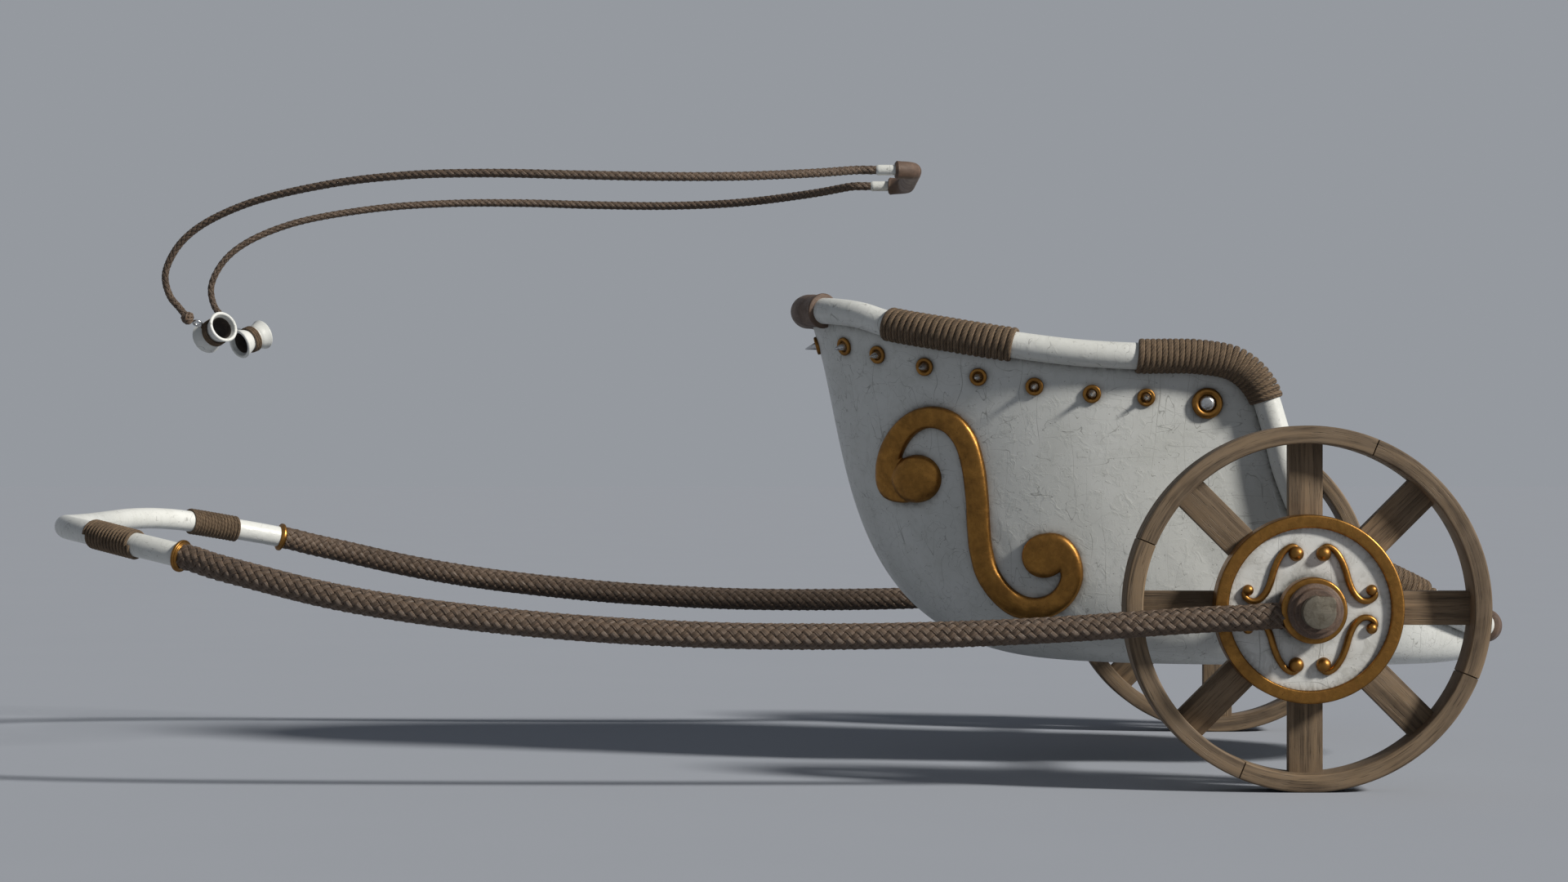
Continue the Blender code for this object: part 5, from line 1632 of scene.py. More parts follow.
def stain(item: bpy.types.Object, sources: Sequence[tuple[np.ndarray, float, float]],
          hollow: Sequence[float] | None = None) -> None:
    """Store how much painted shade each point of a piece gets, from its distance to the parts that shade
    it.

    Args:
        item: the piece.
        sources: points, the radius that they cover, and how far the painted shade spreads.
        hollow: a point inside a hollow piece, whose inner skin then gets no painted shade.
    """
    mesh = item.data
    places = read_points(mesh)
    grime = np.zeros(len(places))
    for points, radius, spread in sources:
        points = np.atleast_2d(points)
        nearest = np.full(len(places), np.inf)
        for start in range(0, len(points), 40):
            gaps = places[:, None, :] - points[None, start:start + 40, :]
            nearest = np.minimum(nearest, np.sqrt((gaps**2).sum(axis=2)).min(axis=1))
        grime = np.maximum(grime, np.exp(-np.maximum(nearest - radius, 0.0) / spread))
    if hollow is not None:
        normals = np.empty(len(mesh.vertices) * 3)
        mesh.vertex_normals.foreach_get("vector", normals)
        outside = np.sum(normals.reshape(-1, 3) * (places - np.array(hollow)), axis=1) > 0
        grime *= outside
    store(mesh, "grime", grime)


@dataclass
class Car:
    """The car: shell, rail, caps, windings, ornaments, floor and axle."""

    shop: Workshop
    rail: Rail = field(default_factory=Rail)
    cover_radius: float = 0.044
    cover_bead: float = 0.003
    cover_seat: float = 0.002
    cover_sway: tuple = ((0.0006, 61.0), (0.0004, 143.0))
    wrap_turns: tuple = (("side_wrap", 21.0), ("corner_wrap", 26.0), ("tail_wrap", 8.6))
    wrap_margin: float = 0.006
    stud_behind_prow: tuple = (0.080, 0.173, 0.300, 0.442, 0.589, 0.739, 0.881)
    stud_drop: tuple = (0.092, 0.107)
    stud_radius: float = 0.024
    spike_radius: float = 0.0115
    spike_length: float = 0.036
    rivet_x: float = -0.185
    rivet_drop: float = 0.118
    rivet_radius: float = 0.040
    rivet_dome: tuple = ((0.0, 0.0), (0.0205, 0.0), (0.0200, 0.011), (0.013, 0.017), (0.0, 0.0185))
    floor_top: float = 0.520
    floor_rear_x: float = 0.060
    step_top: float = 0.304
    step_front_x: float = 0.110
    board_thickness: float = 0.020
    plank_width: float = 0.096
    plank_joint: float = 0.0007
    plank_round: float = 0.0015
    bolster_seat: float = 0.030
    bolster_half: tuple = (0.05, 0.30)
    axle_radius: float = 0.030
    axle_half: float = 1.12
    cap_start: float = 1.1030
    cap_profile: tuple = ((0.0, 0.0), (0.0672, 0.0), (0.0675, 0.027), (0.056, 0.030),
                          (0.0545, 0.046), (0.0, 0.046))
    peg_radius: float = 0.0405
    peg_span: tuple = (1.149, 1.1905)
    peg_square: int = 7
    peg_corner: tuple = (0.985, 0.93)
    middle: tuple = (-0.300, 0.0, 0.850)
    hull: Hull = field(init=False)

    def __post_init__(self) -> None:
        """Work out the shell."""
        self.hull = Hull(self.rail)

    def build(self) -> None:
        """Build every piece of the car."""
        self.build_rail()
        self.build_windings()
        self.build_shell([*self.build_studs(), *self.build_rivets(), *self.build_scrolls()])
        self.build_floor()
        self.build_axle()

    def build_shell(self, ornaments: list) -> None:
        """Build the shell, with painted shade round its ornaments and under the rail."""
        shell = self.hull.build("shell")
        # Painted shade: the shell darkens round the studs, rivets and scrolls and under the rail.
        line = self.rail.half.part(0.0, self.rail.half.length, 260)
        right = [*ornaments, (line, RAIL_RADIUS + 0.003, 0.010)]
        sources = [(np.vstack([points, mirrored(points)]), radius, spread)
                   for points, radius, spread in right]
        stain(shell, sources, self.middle)
        self.shop.settle(shell, "car", SHELL_PAINT, "car_shell")

    def build_rail(self) -> None:
        """Build the rail and the leather caps at its prow and tail."""
        whole = both_sides(self.rail.half)
        stations = np.linspace(0, whole.length, 460, endpoint=False)
        bar = tube_skin(whole, stations, RAIL_RADIUS, 32, loop=True)
        self.shop.settle(bar.add("rail"), "car", PAINT, "car_rail")
        prow = both_sides(Line(self.rail.half.points[::-1]))
        middle = self.rail.half.length
        for name, line, half in (("front_cap", prow, self.rail.front_cap_half),
                                 ("tail_cap", whole, self.rail.tail_cap_half)):
            spots = np.linspace(middle - half, middle + half, 91)
            sleeve = sleeve_skin(line, spots, self.cap_radii(spots), RAIL_RADIUS - self.cover_seat)
            self.shop.settle(sleeve.add(name + "_leather"), "car", LEATHER, name)

    def cap_radii(self, spots: np.ndarray) -> np.ndarray:
        """Return a cap's radius at each station, with a rolled bead at its ends."""
        sway = sum(height * np.sin(spots * pace) for height, pace in self.cover_sway)
        ends = rolled_ends(spots, reach=0.004, drop=0.005, bead=self.cover_bead,
                           bead_place=0.007, bead_spread=0.0055)
        return self.cover_radius + sway + ends

    def build_windings(self) -> None:
        """Build the cord windings on both sides of the rail."""
        for seed, (name, turns) in enumerate(self.wrap_turns):
            start, end = self.rail.covers()[name]
            stretch = self.rail.half.part(start + self.wrap_margin, end - self.wrap_margin, 160)
            cord = self.shop.winding.run(
                self.shop.path_object(stretch, name), name + "_cord_right", Turns=turns,
                Radius=RAIL_RADIUS + CORD_THICKNESS / 2, Thickness=CORD_THICKNESS,
                Width=CORD_WIDTH, Seed=seed * 7.3, Material=self.shop.material(CORD))
            self.shop.pair(cord, "car", name + "_cord", CORD, name)

    def stud_spots(self) -> tuple[np.ndarray, np.ndarray]:
        """Return the place and the facing of each spiked stud, on both sides."""
        first = self.stud_behind_prow[0] - PROW_REACH
        spread = self.stud_behind_prow[-1] - self.stud_behind_prow[0]
        spots, facings = [], []
        for behind in (0.0, *self.stud_behind_prow):
            x = behind - PROW_REACH
            distance = np.array([self.rail.half.distance_at_x(x)])
            out = self.rail.outward(distance)[0]
            share = max(0.0, (x - first) / spread)
            drop = self.stud_drop[0] + share * (self.stud_drop[1] - self.stud_drop[0])
            base = self.rail.half.at(distance)[0] + out
            if behind == 0.0:
                base, out = np.array([x - 1.0, 1e-5, base[2]]), np.array([-1.0, 0.0, 0.0])
            spot, facing = self.hull.hit((base[0], base[1], self.rail.height_at_x(x) - drop), -out)
            spots.append(tuple(spot))
            facings.append(tuple(facing))
        spots, facings = np.array(spots), np.array(facings)
        facings[0, 1] = 0.0
        return (np.vstack([spots, mirrored(spots[1:])]), np.vstack([facings, mirrored(facings[1:])]))

    def build_studs(self) -> list:
        """Build the studs: a bronze ring round a steel spike."""
        places, facings = self.stud_spots()
        r, s = self.stud_radius, self.spike_radius
        ring = rounded([(s * 0.6, -0.003), (r, -0.003), (r, 0.0075), (r * 0.66, 0.0085),
                        (s * 1.02, 0.0015), (s * 0.6, 0.0015)], 0.004, 5, closed=True)
        spike = [(0.0, 0.0), (s, 0.0), (s, 0.0015), (s * 0.92, 0.006), (0.0016, self.spike_length - 0.001),
                 (0.0008, self.spike_length), (0.0, self.spike_length)]
        for name, profile, finish in (("stud_rings", ring, BRONZE), ("stud_spikes", spike, STEEL)):
            shape = turned_skin(profile, np.zeros(3), UP, 28).add(name + "_shape")
            spots = self.shop.spots_object(places, facings, name + "_spots")
            item = self.shop.scatter.run(spots, name, Prototype=shape,
                                         Material=self.shop.material(finish))
            bpy.data.objects.remove(shape, do_unlink=True)
            self.shop.settle(item, "car", finish)
        return [(places, r - 0.001, 0.006)]

    def build_rivets(self) -> list:
        """Build the big rivets: a rounded bronze ring round a steel dome."""
        height = self.rail.height_at_x(self.rivet_x) - self.rivet_drop
        spot, facing = self.hull.hit((self.rivet_x, 2.0, height), (0.0, -1.0, 0.0))
        spot, facing, r = np.array(spot), np.array(facing), self.rivet_radius
        turns = np.linspace(-0.6, math.pi + 0.5, 13)
        ring = [(r * 0.78 + 0.0095 * math.cos(a), 0.004 + 0.010 * math.sin(a)) for a in turns]
        ring = [(0.0, -0.004), (r * 0.86, -0.004), *ring, (r * 0.52, 0.002), (0.0, 0.002)]
        dome = rounded(self.rivet_dome, 0.005, 5)
        for name, profile, finish, nodes in (("rivet_ring", ring, BRONZE, ("rivet",)),
                                             ("rivet_dome", dome, STEEL, ())):
            for side in (Side.RIGHT, Side.LEFT):
                shape = turned_skin(profile, spot * side.flip, facing * side.flip, 48)
                self.shop.settle(shape.add(f"{name}_{side.word}"), "car", finish,
                                 *[f"{node}_{side.word}" for node in nodes])
        return [(spot, r - 0.001, 0.007)]

    def build_scrolls(self) -> list:
        """Build the scroll on each side."""
        scroll = Scroll(self.hull)
        name = "scroll_bronze"
        self.shop.pair(scroll.build(name + "_right"), "car", name, BRONZE, "scroll")
        line = np.array([self.hull.side(x, z, 0.0) for x, z, _ in scroll.centreline(110)])
        eyes = [(self.hull.side(*scroll.spot(eye.place), 0.0), eye.radius, 0.006)
                for eye in scroll.eyes]
        return [(line, scroll.width / 2, 0.006), *eyes]

    def build_floor(self) -> None:
        """Build the planked floor, the lower step behind it and the bolster under it."""
        boards = (
            ("floor_planks", "floor_board", self.floor_top, 0.008, None, self.floor_rear_x),
            ("step_planks", "rear_step", self.step_top, 0.025, self.step_front_x, None),
        )
        for name, node, top, inset, front, rear in boards:
            low = top - self.board_thickness
            right = self.hull.board(low, inset, front, rear)
            outline = np.vstack([right, (right * FLIP[:2])[::-1]])
            reach = float(right[:, 1].max())
            edges = np.linspace(-reach, reach, max(3, round(2 * reach / self.plank_width)) + 1)
            planks = []
            for number, (start, end) in enumerate(zip(edges, edges[1:])):
                strip = clip(outline, start + self.plank_joint, end - self.plank_joint)
                if len(strip) < 3:
                    continue
                plank = prism(strip, low, top, 2, f"plank_{number}", self.plank_round)
                planks.append(grain_map(plank, (1, 0, 0), (0, 1, 0), number * 0.37))
            self.shop.settle(merge(name, planks), "car", WOOD, node)
        depth, reach = self.bolster_half
        section = oblong((-depth, AXLE_Z + self.bolster_seat),
                         (depth, self.floor_top - self.board_thickness))
        beam = grain_map(prism(section, -reach, reach, 1, "bolster", 0.002), (0, 1, 0), (1, 0, 0))
        self.shop.settle(beam, "car", WOOD, "axle_bolster")

    def build_axle(self) -> None:
        """Build the axle with its caps and pegs."""
        section = oblong((0.0, -self.axle_half), (self.axle_radius, self.axle_half))
        bar = turned_skin(section, on_axle(), OUTWARD, 40)
        self.shop.settle(bar.add("axle_bar"), "car", IRON, "axle")
        cap = turned_skin(rounded(self.cap_profile, 0.0045, 5), on_axle(self.cap_start), OUTWARD, 72)
        self.shop.pair(cap.add("cap_right"), "car", "axle_cap_leather", LEATHER, "axle_cap")
        self.shop.pair(self.peg(), "car", "axle_peg_iron", IRON, "axle_peg")

    def peg(self) -> bpy.types.Object:
        """Return the axle's end peg, which has one squared corner at its upper rear."""
        power = self.peg_square
        outline = []
        for a in circle(72):
            x, z = math.cos(a), math.sin(a)
            if x > 0 and z > 0:
                stretch = (x**power + z**power) ** (-1 / power)
                x, z = x * stretch * self.peg_corner[0], z * stretch * self.peg_corner[1]
            outline.append((x * self.peg_radius, AXLE_Z + z * self.peg_radius))
        return prism(outline, *self.peg_span, 1, "peg_right", 0.0035)


@dataclass
class Wheel:
    """One spoked wheel with its painted and bronze-ringed hub."""

    shop: Workshop
    side: Side
    radius: float = 0.450
    rim_depth: float = 0.044
    rim_face: float = 1.010
    rim_width: float = 0.120
    rim_round: float = 0.006
    joint_angle: float = 67.5
    joint_gap: float = 0.00015
    joint_groove: float = 0.0018
    joint_size: float = 0.90
    felloes: int = 4
    spokes: int = 8
    spoke_width: float = 0.084
    spoke_face: float = 0.950
    spoke_thickness: float = 0.045
    spoke_gap: float = 0.0004
    spoke_seat: float = 0.0025
    drum_radius: float = 0.2316
    disc_radius: float = 0.200
    hub_face: float = 1.030
    disc_recess: float = 0.014
    nave_radius: float = 0.070
    nave_gap: float = 0.0003
    nave_bore: float = 0.0305
    nave_flange: float = 0.088
    nave_back: float = 0.860
    collar_radius: float = 0.078
    strand_radius: float = 0.0086
    strand_tip: float = 0.72
    ornament_lift: float = 0.004
    ornament: tuple = (
        (0.0300, 0.1480), (0.0420, 0.1545), (0.0590, 0.1460), (0.0764, 0.1225), (0.0884, 0.0932),
        (0.0970, 0.0640), (0.1090, 0.0390), (0.1280, 0.0215), (0.1470, 0.0215), (0.1600, 0.0330),
        (0.1570, 0.0460),
    )
    big_ball: tuple = (0.0334, 0.1362, 0.0190)
    small_ball: tuple = (0.1514, 0.0468, 0.0140)

    def build(self) -> None:
        """Build every piece of the wheel."""
        for number in range(self.felloes):
            item = self.felloe(number)
            self.settle(item, f"felloe_oak_{number + 1}", WOOD, f"felloe_{number + 1}")
        self.settle(self.star(), "spokes_oak", WOOD, "wheel_spokes")
        self.settle(self.nave(), "nave_oak", WOOD, "wheel_nave")
        self.settle(self.disc(), "hub_face", DISC_PAINT, "hub_disc")
        band = rounded(oblong((self.disc_radius - 0.001, self.spoke_face),
                              (self.drum_radius, self.hub_face)), 0.006, 5, closed=True)
        ring = turned_skin(band, on_axle(), OUTWARD, 128)
        self.settle(ring.add("ring"), "hub_band", BRONZE, "hub_ring")
        self.settle(self.ornaments(), "hub_ornaments", BRONZE)

    def settle(self, item: bpy.types.Object, name: str, finish: Finish, *nodes: str) -> None:
        """Mirror a right-hand piece where the wheel is the left one, and settle it."""
        word = self.side.word
        if self.side is Side.LEFT:
            item.data.transform(FLIP_MATRIX)
            item.data.flip_normals()
        item.name = f"{name}_{word}"
        item.data.name = item.name
        self.shop.settle(item, f"wheel_{word}", finish, *[f"{node}_{word}" for node in nodes])

    def hoop(self, radius: float, y: float, turns: Iterable[float]) -> list:
        """Return points round the axle, at a radius and a distance from the middle."""
        return [(radius * math.cos(a), y, AXLE_Z + radius * math.sin(a)) for a in turns]

    def felloe(self, number: int) -> bpy.types.Object:
        """Return one quarter of the rim, with its grain bent round."""
        corners = oblong((self.radius - self.rim_depth, self.rim_face - self.rim_width),
                         (self.radius, self.rim_face))
        section = np.array(rounded(corners, self.rim_round, 4, closed=True))
        middle = (np.array(corners[0]) + np.array(corners[2])) / 2
        start = math.radians(self.joint_angle + 90.0 * number)
        end = start + math.pi / 2
        trim = self.joint_gap / self.radius
        groove = self.joint_groove / self.radius
        turns = [start + trim, *np.linspace(start + trim + groove, end - trim - groove, 39),
                 end - trim]
        sizes = [self.joint_size, *[1.0] * 39, self.joint_size]
        rings = [[(r * math.cos(turn), y, AXLE_Z + r * math.sin(turn))
                  for r, y in middle + (section - middle) * size] for turn, size in zip(turns, sizes)]
        skin = Skin(np.array(rings), loop_cols=True, capped=True)
        skin.uv = skin.flat_uv()
        skin.uv[..., 1] += number * 0.61 + self.side.value * 0.27
        return skin.add(f"felloe_{number}")

    def star(self) -> bpy.types.Object:
        """Return the eight flat spokes, which meet round the nave."""
        half, gap = self.spoke_width / 2, self.spoke_gap
        slot = math.pi / self.spokes
        notch = half / math.sin(slot)
        eye = (self.nave_radius + self.nave_gap) / math.cos(slot)
        reach = self.radius - self.rim_depth + self.spoke_seat
        upper = [(math.sqrt(reach**2 - half**2), half), (notch * math.cos(slot), half - gap),
                 (eye * math.cos(slot), eye * math.sin(slot) - gap)]
        outline = [*[(x, -y) for x, y in reversed(upper)], (reach, 0.0), *upper]
        planks = []
        for spoke in range(self.spokes):
            plank = prism(outline, self.spoke_face - self.spoke_thickness, self.spoke_face, 1,
                          f"spoke_{spoke}", 0.0028)
            grain_map(plank, (1, 0, 0), (0, 0, 1), spoke * 0.73 + self.side.value * 0.19)
            turn = Matrix.Rotation(-2 * math.pi * spoke / self.spokes, 4, "Y")
            plank.data.transform(Matrix.Translation(on_axle()) @ turn)
            planks.append(plank)
        return merge("star", planks)

    def nave(self) -> bpy.types.Object:
        """Return the wooden nave that turns on the axle."""
        back = self.spoke_face - self.spoke_thickness
        profile = rounded([(self.nave_bore, self.nave_back), (self.nave_flange, self.nave_back),
                           (self.nave_flange, back), (self.nave_radius, back),
                           (self.nave_radius, self.hub_face), (self.nave_bore, self.hub_face)],
                          0.004, 4, closed=True)
        return turned_skin(profile, on_axle(), OUTWARD, 64).add("nave")

    def disc(self) -> bpy.types.Object:
        """Return the painted disc, with painted shade at its rim, round its collar and along its
        ornaments.
        """
        face = self.hub_face - self.disc_recess
        turns = circle(180)
        levels = [(self.disc_radius, self.spoke_face + 0.001),
                  *[(reach, face) for reach in np.linspace(self.disc_radius, self.nave_radius, 34)],
                  (self.nave_radius, self.spoke_face + 0.001)]
        rings = np.array([self.hoop(radius, y, turns) for radius, y in levels])
        item = Skin(rings, loop_rows=True, loop_cols=True).add("disc")
        rim = np.array(self.hoop(self.disc_radius, face, turns[::2]))
        collar = np.array(self.hoop(self.collar_radius, face, turns[::3]))
        line = np.vstack([self.strand(*signs)[::3] for signs in self.quarters()])
        # Painted shade: the disc darkens at its rim under the ring, round the collar and along the
        # ornaments.
        stain(item, [(rim, 0.0, 0.0065), (collar, 0.004, 0.010), (line, self.strand_radius, 0.0030)])
        return item

    def quarters(self) -> tuple:
        """Return the signs of X and Z in the four quarters of the disc."""
        return ((1, 1), (-1, 1), (-1, -1), (1, -1))

    def raised(self, x: float, z: float) -> tuple[float, float, float]:
        """Return a place just off the disc, from its distances to the axle."""
        return (x, self.hub_face - self.disc_recess + self.ornament_lift, AXLE_Z + z)

    def strand(self, across: int, upward: int) -> np.ndarray:
        """Return the centreline of one ornament's strand."""
        return smooth_route([self.raised(x * across, z * upward) for x, z in self.ornament], 60)

    def ornaments(self) -> bpy.types.Object:
        """Return the four S-shaped ornaments, each with a ball at either end."""
        pieces = []
        for across, upward in self.quarters():
            line = Line(self.strand(across, upward))
            spots = np.linspace(0, line.length, 60)
            swell = np.sin(spots / line.length * math.pi) ** 0.6
            radii = self.strand_radius * (self.strand_tip + (1 - self.strand_tip) * swell)
            pieces.append(tube_skin(line, spots, radii, 14, lead=OUTWARD).add("strand"))
            for x, z, radius in (self.big_ball, self.small_ball):
                ball = turned_skin(ball_profile(radius, 12), self.raised(x * across, z * upward),
                                   OUTWARD, 24)
                pieces.append(ball.add("ball"))
        return merge("ornaments", pieces)


@dataclass
class DraughtBow:
    """The front bow with its rings, windings, shafts and the collars they end in."""

    shop: Workshop
    bow_radius: float = 0.030
    bow_trim: float = 0.006
    shaft_radius: float = 0.033
    shaft_drop: float = 0.014
    ring_profile: tuple = (
        (0.0, -0.008), (0.033, -0.008), (0.034, -0.0035), (0.0405, -0.003), (0.0405, 0.0045),
        (0.034, 0.006), (0.033, 0.0095), (0.0, 0.0095),
    )
    collar_bore: float = 0.034
    collar_radius: float = 0.081
    collar_start: float = 1.040
    collar_width: float = 0.062
    wrap_turns: float = 14.0
    wrap_margin: float = 0.004
    wrap_x: tuple = (-3.028, -2.900)
    bow_route: tuple = (
        (-2.780, 0.905, 0.577), (-2.840, 0.873, 0.590), (-2.900, 0.838, 0.602),
        (-3.028, 0.742, 0.628), (-3.100, 0.640, 0.638), (-3.148, 0.480, 0.640),
        (-3.172, 0.280, 0.637), (-3.181, 0.000, 0.635),
    )
    shaft_route: tuple = (
        (-0.150, 1.072, 0.432), (-0.250, 1.070, 0.428), (-0.410, 1.065, 0.417),
        (-0.610, 1.060, 0.403), (-0.810, 1.055, 0.393), (-1.010, 1.052, 0.387),
        (-1.210, 1.050, 0.385), (-1.410, 1.050, 0.387), (-1.610, 1.050, 0.395),
        (-1.800, 1.050, 0.407), (-2.000, 1.050, 0.426), (-2.210, 1.047, 0.452),
        (-2.410, 1.030, 0.487), (-2.610, 0.985, 0.534), (-2.700, 0.949, 0.556),
    )

    def path(self) -> Line:
        """Return the bow's centreline, from its right end round the front to its left end."""
        left = [(x, -y, z) for x, y, z in reversed(self.bow_route[:-1])]
        return Line(smooth_route([*self.bow_route, *left], 900))

    def build(self) -> None:
        """Build every piece that swings with the bow."""
        path = self.path()
        spots = np.linspace(self.bow_trim, path.length - self.bow_trim, 181)
        bar = tube_skin(path, spots, self.bow_radius, 32)
        self.shop.settle(bar.add("bow_bar"), "draught_bow", PAINT, "bow")
        end, run = path.points[0], path.slopes[0]
        ring = turned_skin(rounded(self.ring_profile, 0.002, 3), end, run, 56)
        self.pair(ring.add("ring"), "bow_end_ring", BRONZE, "bow_ring")
        near, far = sorted(path.along[np.argmin(abs(path.points[:450, 0] - x))] for x in self.wrap_x)
        stretch = path.part(near + self.wrap_margin, far - self.wrap_margin, 90)
        wrap = self.shop.winding.run(
            self.shop.path_object(stretch, "wrap"), "bow_wrap_cord", Turns=self.wrap_turns,
            Radius=self.bow_radius + 0.0032, Thickness=0.0094, Width=0.0100, Unevenness=0.0006,
            Material=self.shop.material(CORD))
        self.pair(wrap, "bow_wrap_cord", CORD, "bow_wrap")
        section = rounded(oblong((self.collar_bore, 0.0), (self.collar_radius, self.collar_width)),
                          0.007, 5, closed=True)
        collar = turned_skin(section, on_axle(self.collar_start), OUTWARD, 88)
        self.pair(collar.add("collar"), "shaft_collar_bronze", BRONZE, "shaft_collar")
        self.pair(self.shaft(end, run), "shaft_plait", PLAIT, "shaft")

    def shaft(self, bow_end: np.ndarray, run: np.ndarray) -> bpy.types.Object:
        """Return the right-hand shaft, covered with plaited leather."""
        foot = np.array([-(self.collar_radius - 0.006), self.collar_start + self.collar_width / 2,
                         AXLE_Z - self.shaft_drop])
        lead = foot - np.array([self.shaft_radius, 0, 0])
        route = [foot, lead, *self.shaft_route, bow_end - run * (0.008 + self.shaft_radius),
                 bow_end - run * 0.007]
        line = Line(smooth_route(route, 900))
        path = self.shop.path_object(even_points(line.points, 260), "shaft")
        return self.shop.plait.run(
            path, "shaft_plait", Strands=8, Turns=line.length / 0.208, Points=430,
            Radius=0.0286, Relief=0.0022, Thickness=0.0050, Width=0.0158, Core=0.0254,
            Material=self.shop.material(PLAIT))

    def pair(self, right: bpy.types.Object, name: str, finish: Finish, node: str) -> None:
        """Settle a right-hand piece of the bow and its mirror image."""
        self.shop.pair(right, "draught_bow", name, finish, node)


@dataclass
class Reins:
    """The handle with its grip, the two ropes, and the cuffs that hang from them."""

    shop: Workshop
    rope_radius: float = 0.012
    handle_radius: float = 0.014
    handle_half: float = 0.310
    handle_z: float = 1.577
    handle_end_x: float = -1.044
    handle_rear_x: float = -0.945
    handle_corner: float = 0.055
    grip_radius: float = 0.024
    grip_start: float = 0.050
    grip_sway: float = 0.0004
    knot_radius: float = 0.017
    knot_strand: float = 0.0032
    knot_rings: tuple = ((0.75, 0.0), (0.75, 1.05), (0.75, 2.09), (0.75, 3.14), (0.75, 4.19),
                         (0.75, 5.24), (1.45, 0.5))
    shackle_reach: float = 0.0105
    shackle_wire: float = 0.0032
    shackle_shown: float = 0.0040
    link_gap: float = 0.0003
    cuff_centre: tuple = (-2.786, 0.330, 1.148)
    cuff_axis: tuple = (0.640, 0.700, 0.330)
    cuff_to_knot: tuple = (-0.759, 0.490, 0.428)
    cuff_length: float = 0.092
    flare_radius: float = 0.042
    waist_radius: float = 0.031
    bore_radius: float = 0.026
    waist_half: float = 0.014
    rim_thickness: float = 0.009
    lashing_radius: float = 0.0036
    lashing_turns: int = 3
    lashing_half: float = 0.0098
    route: tuple = (
        (-1.090, 0.313, 1.577), (-1.202, 0.400, 1.563), (-1.413, 0.530, 1.545),
        (-1.621, 0.595, 1.540), (-1.829, 0.612, 1.543), (-2.040, 0.600, 1.548),
        (-2.251, 0.570, 1.545), (-2.468, 0.510, 1.525), (-2.692, 0.440, 1.477),
        (-2.824, 0.408, 1.415), (-2.880, 0.395, 1.360), (-2.907, 0.388, 1.295),
        (-2.895, 0.380, 1.240),
    )
    axis: np.ndarray = field(init=False)
    toward: np.ndarray = field(init=False)
    pivot: np.ndarray = field(init=False)
    knot: np.ndarray = field(init=False)
    lead: np.ndarray = field(init=False)

    def __post_init__(self) -> None:
        """Work out where the right-hand shackle and knot lie, and the ways that they face."""
        self.axis = unit(np.array(self.cuff_axis))
        toward = np.array(self.cuff_to_knot)
        self.toward = unit(toward - self.axis * (toward @ self.axis))
        lashed = (self.waist_radius + 0.0006) / math.cos(math.pi / 8) + 0.0065
        link = self.shackle_reach + self.shackle_wire
        self.pivot = np.array(self.cuff_centre) + self.toward * (lashed + self.link_gap + link)
        self.knot = self.pivot + self.toward * (link + self.link_gap + self.knot_radius)
        self.lead = unit(np.array(self.route[-1]) - self.knot)

    def build(self) -> None:
        """Build every piece of the reins."""
        self.build_handle()
        for side in (Side.RIGHT, Side.LEFT):
            self.build_rope(side)
            self.build_cuff(side)
            self.build_lashing(side)

    def build_handle(self) -> None:
        """Build the handle and its leather grip."""
        centre_x = self.handle_rear_x - self.handle_corner
        centre_y = self.handle_half - self.handle_corner
        half = [(self.handle_end_x, self.handle_half, self.handle_z),
                *[(centre_x + self.handle_corner * math.cos(a),
                   centre_y + self.handle_corner * math.sin(a), self.handle_z)
                  for a in np.linspace(math.pi / 2, 0, 24)],
                (self.handle_rear_x, 0.0, self.handle_z)]
        left = [(x, -y, z) for x, y, z in reversed(half[:-1])]
        path = Line(even_points(np.array(half + left), 600))
        spots = np.linspace(0, path.length, 181)
        radii = self.handle_radius + rolled_ends(spots, reach=0.003, drop=0.003)
        bar = tube_skin(path, spots, radii, 24)
        self.shop.settle(bar.add("handle_bar"), "reins", PAINT, "rein_handle")
        spots = np.linspace(self.grip_start, path.length - self.grip_start, 141)
        ends = rolled_ends(spots, reach=0.004, drop=0.004, bead=0.0010, bead_place=0.006,
                           bead_spread=0.004)
        radii = self.grip_radius + ends + self.grip_sway * (np.sin(spots * 47) - 2)
        grip = sleeve_skin(path, spots, radii, self.handle_radius - 0.001)
        self.shop.settle(grip.add("grip_leather"), "reins", LEATHER, "rein_grip")

    def build_rope(self, side: Side) -> None:
        """Build one side's shackle, knot and rope."""
        word, flip, lead = side.word, side.flip, self.lead
        wire = [(self.shackle_reach + self.shackle_shown * math.cos(a),
                 self.shackle_shown * math.sin(a)) for a in circle(14)]
        facing = np.cross(self.axis, self.toward) * flip
        ring = turned_skin(wire, self.pivot * flip, facing, 36).add(f"shackle_steel_{word}")
        self.shop.settle(ring, "reins", STEEL, f"rein_shackle_{word}")
        ball = self.plaited_ball(self.knot * flip, lead * flip, f"knot_plait_{word}")
        self.shop.settle(ball, "reins", PLAIT, f"rein_knot_{word}")
        start = np.array([self.handle_end_x + 0.004, self.handle_half, self.handle_z])
        tip = self.knot + lead * (self.knot_radius * 0.72)
        route = [start, start - np.array([self.rope_radius * 2 + 0.004, 0, 0]), *self.route,
                 tip + lead * self.rope_radius * 2, tip]
        line = Line(smooth_route(route, 900))
        points = even_points(line.points, 240) * flip
        path = self.shop.path_object(points, f"rope_{word}")
        rope = self.shop.plait.run(
            path, f"rope_plait_{word}", Strands=4, Turns=line.length / 0.075, Points=500,
            Radius=0.0092, Relief=0.0012, Thickness=0.0038, Width=0.0104, Core=0.0080, Slimming=0.22,
            Material=self.shop.material(PLAIT))
        self.shop.settle(rope, "reins", PLAIT, f"rein_rope_{word}")

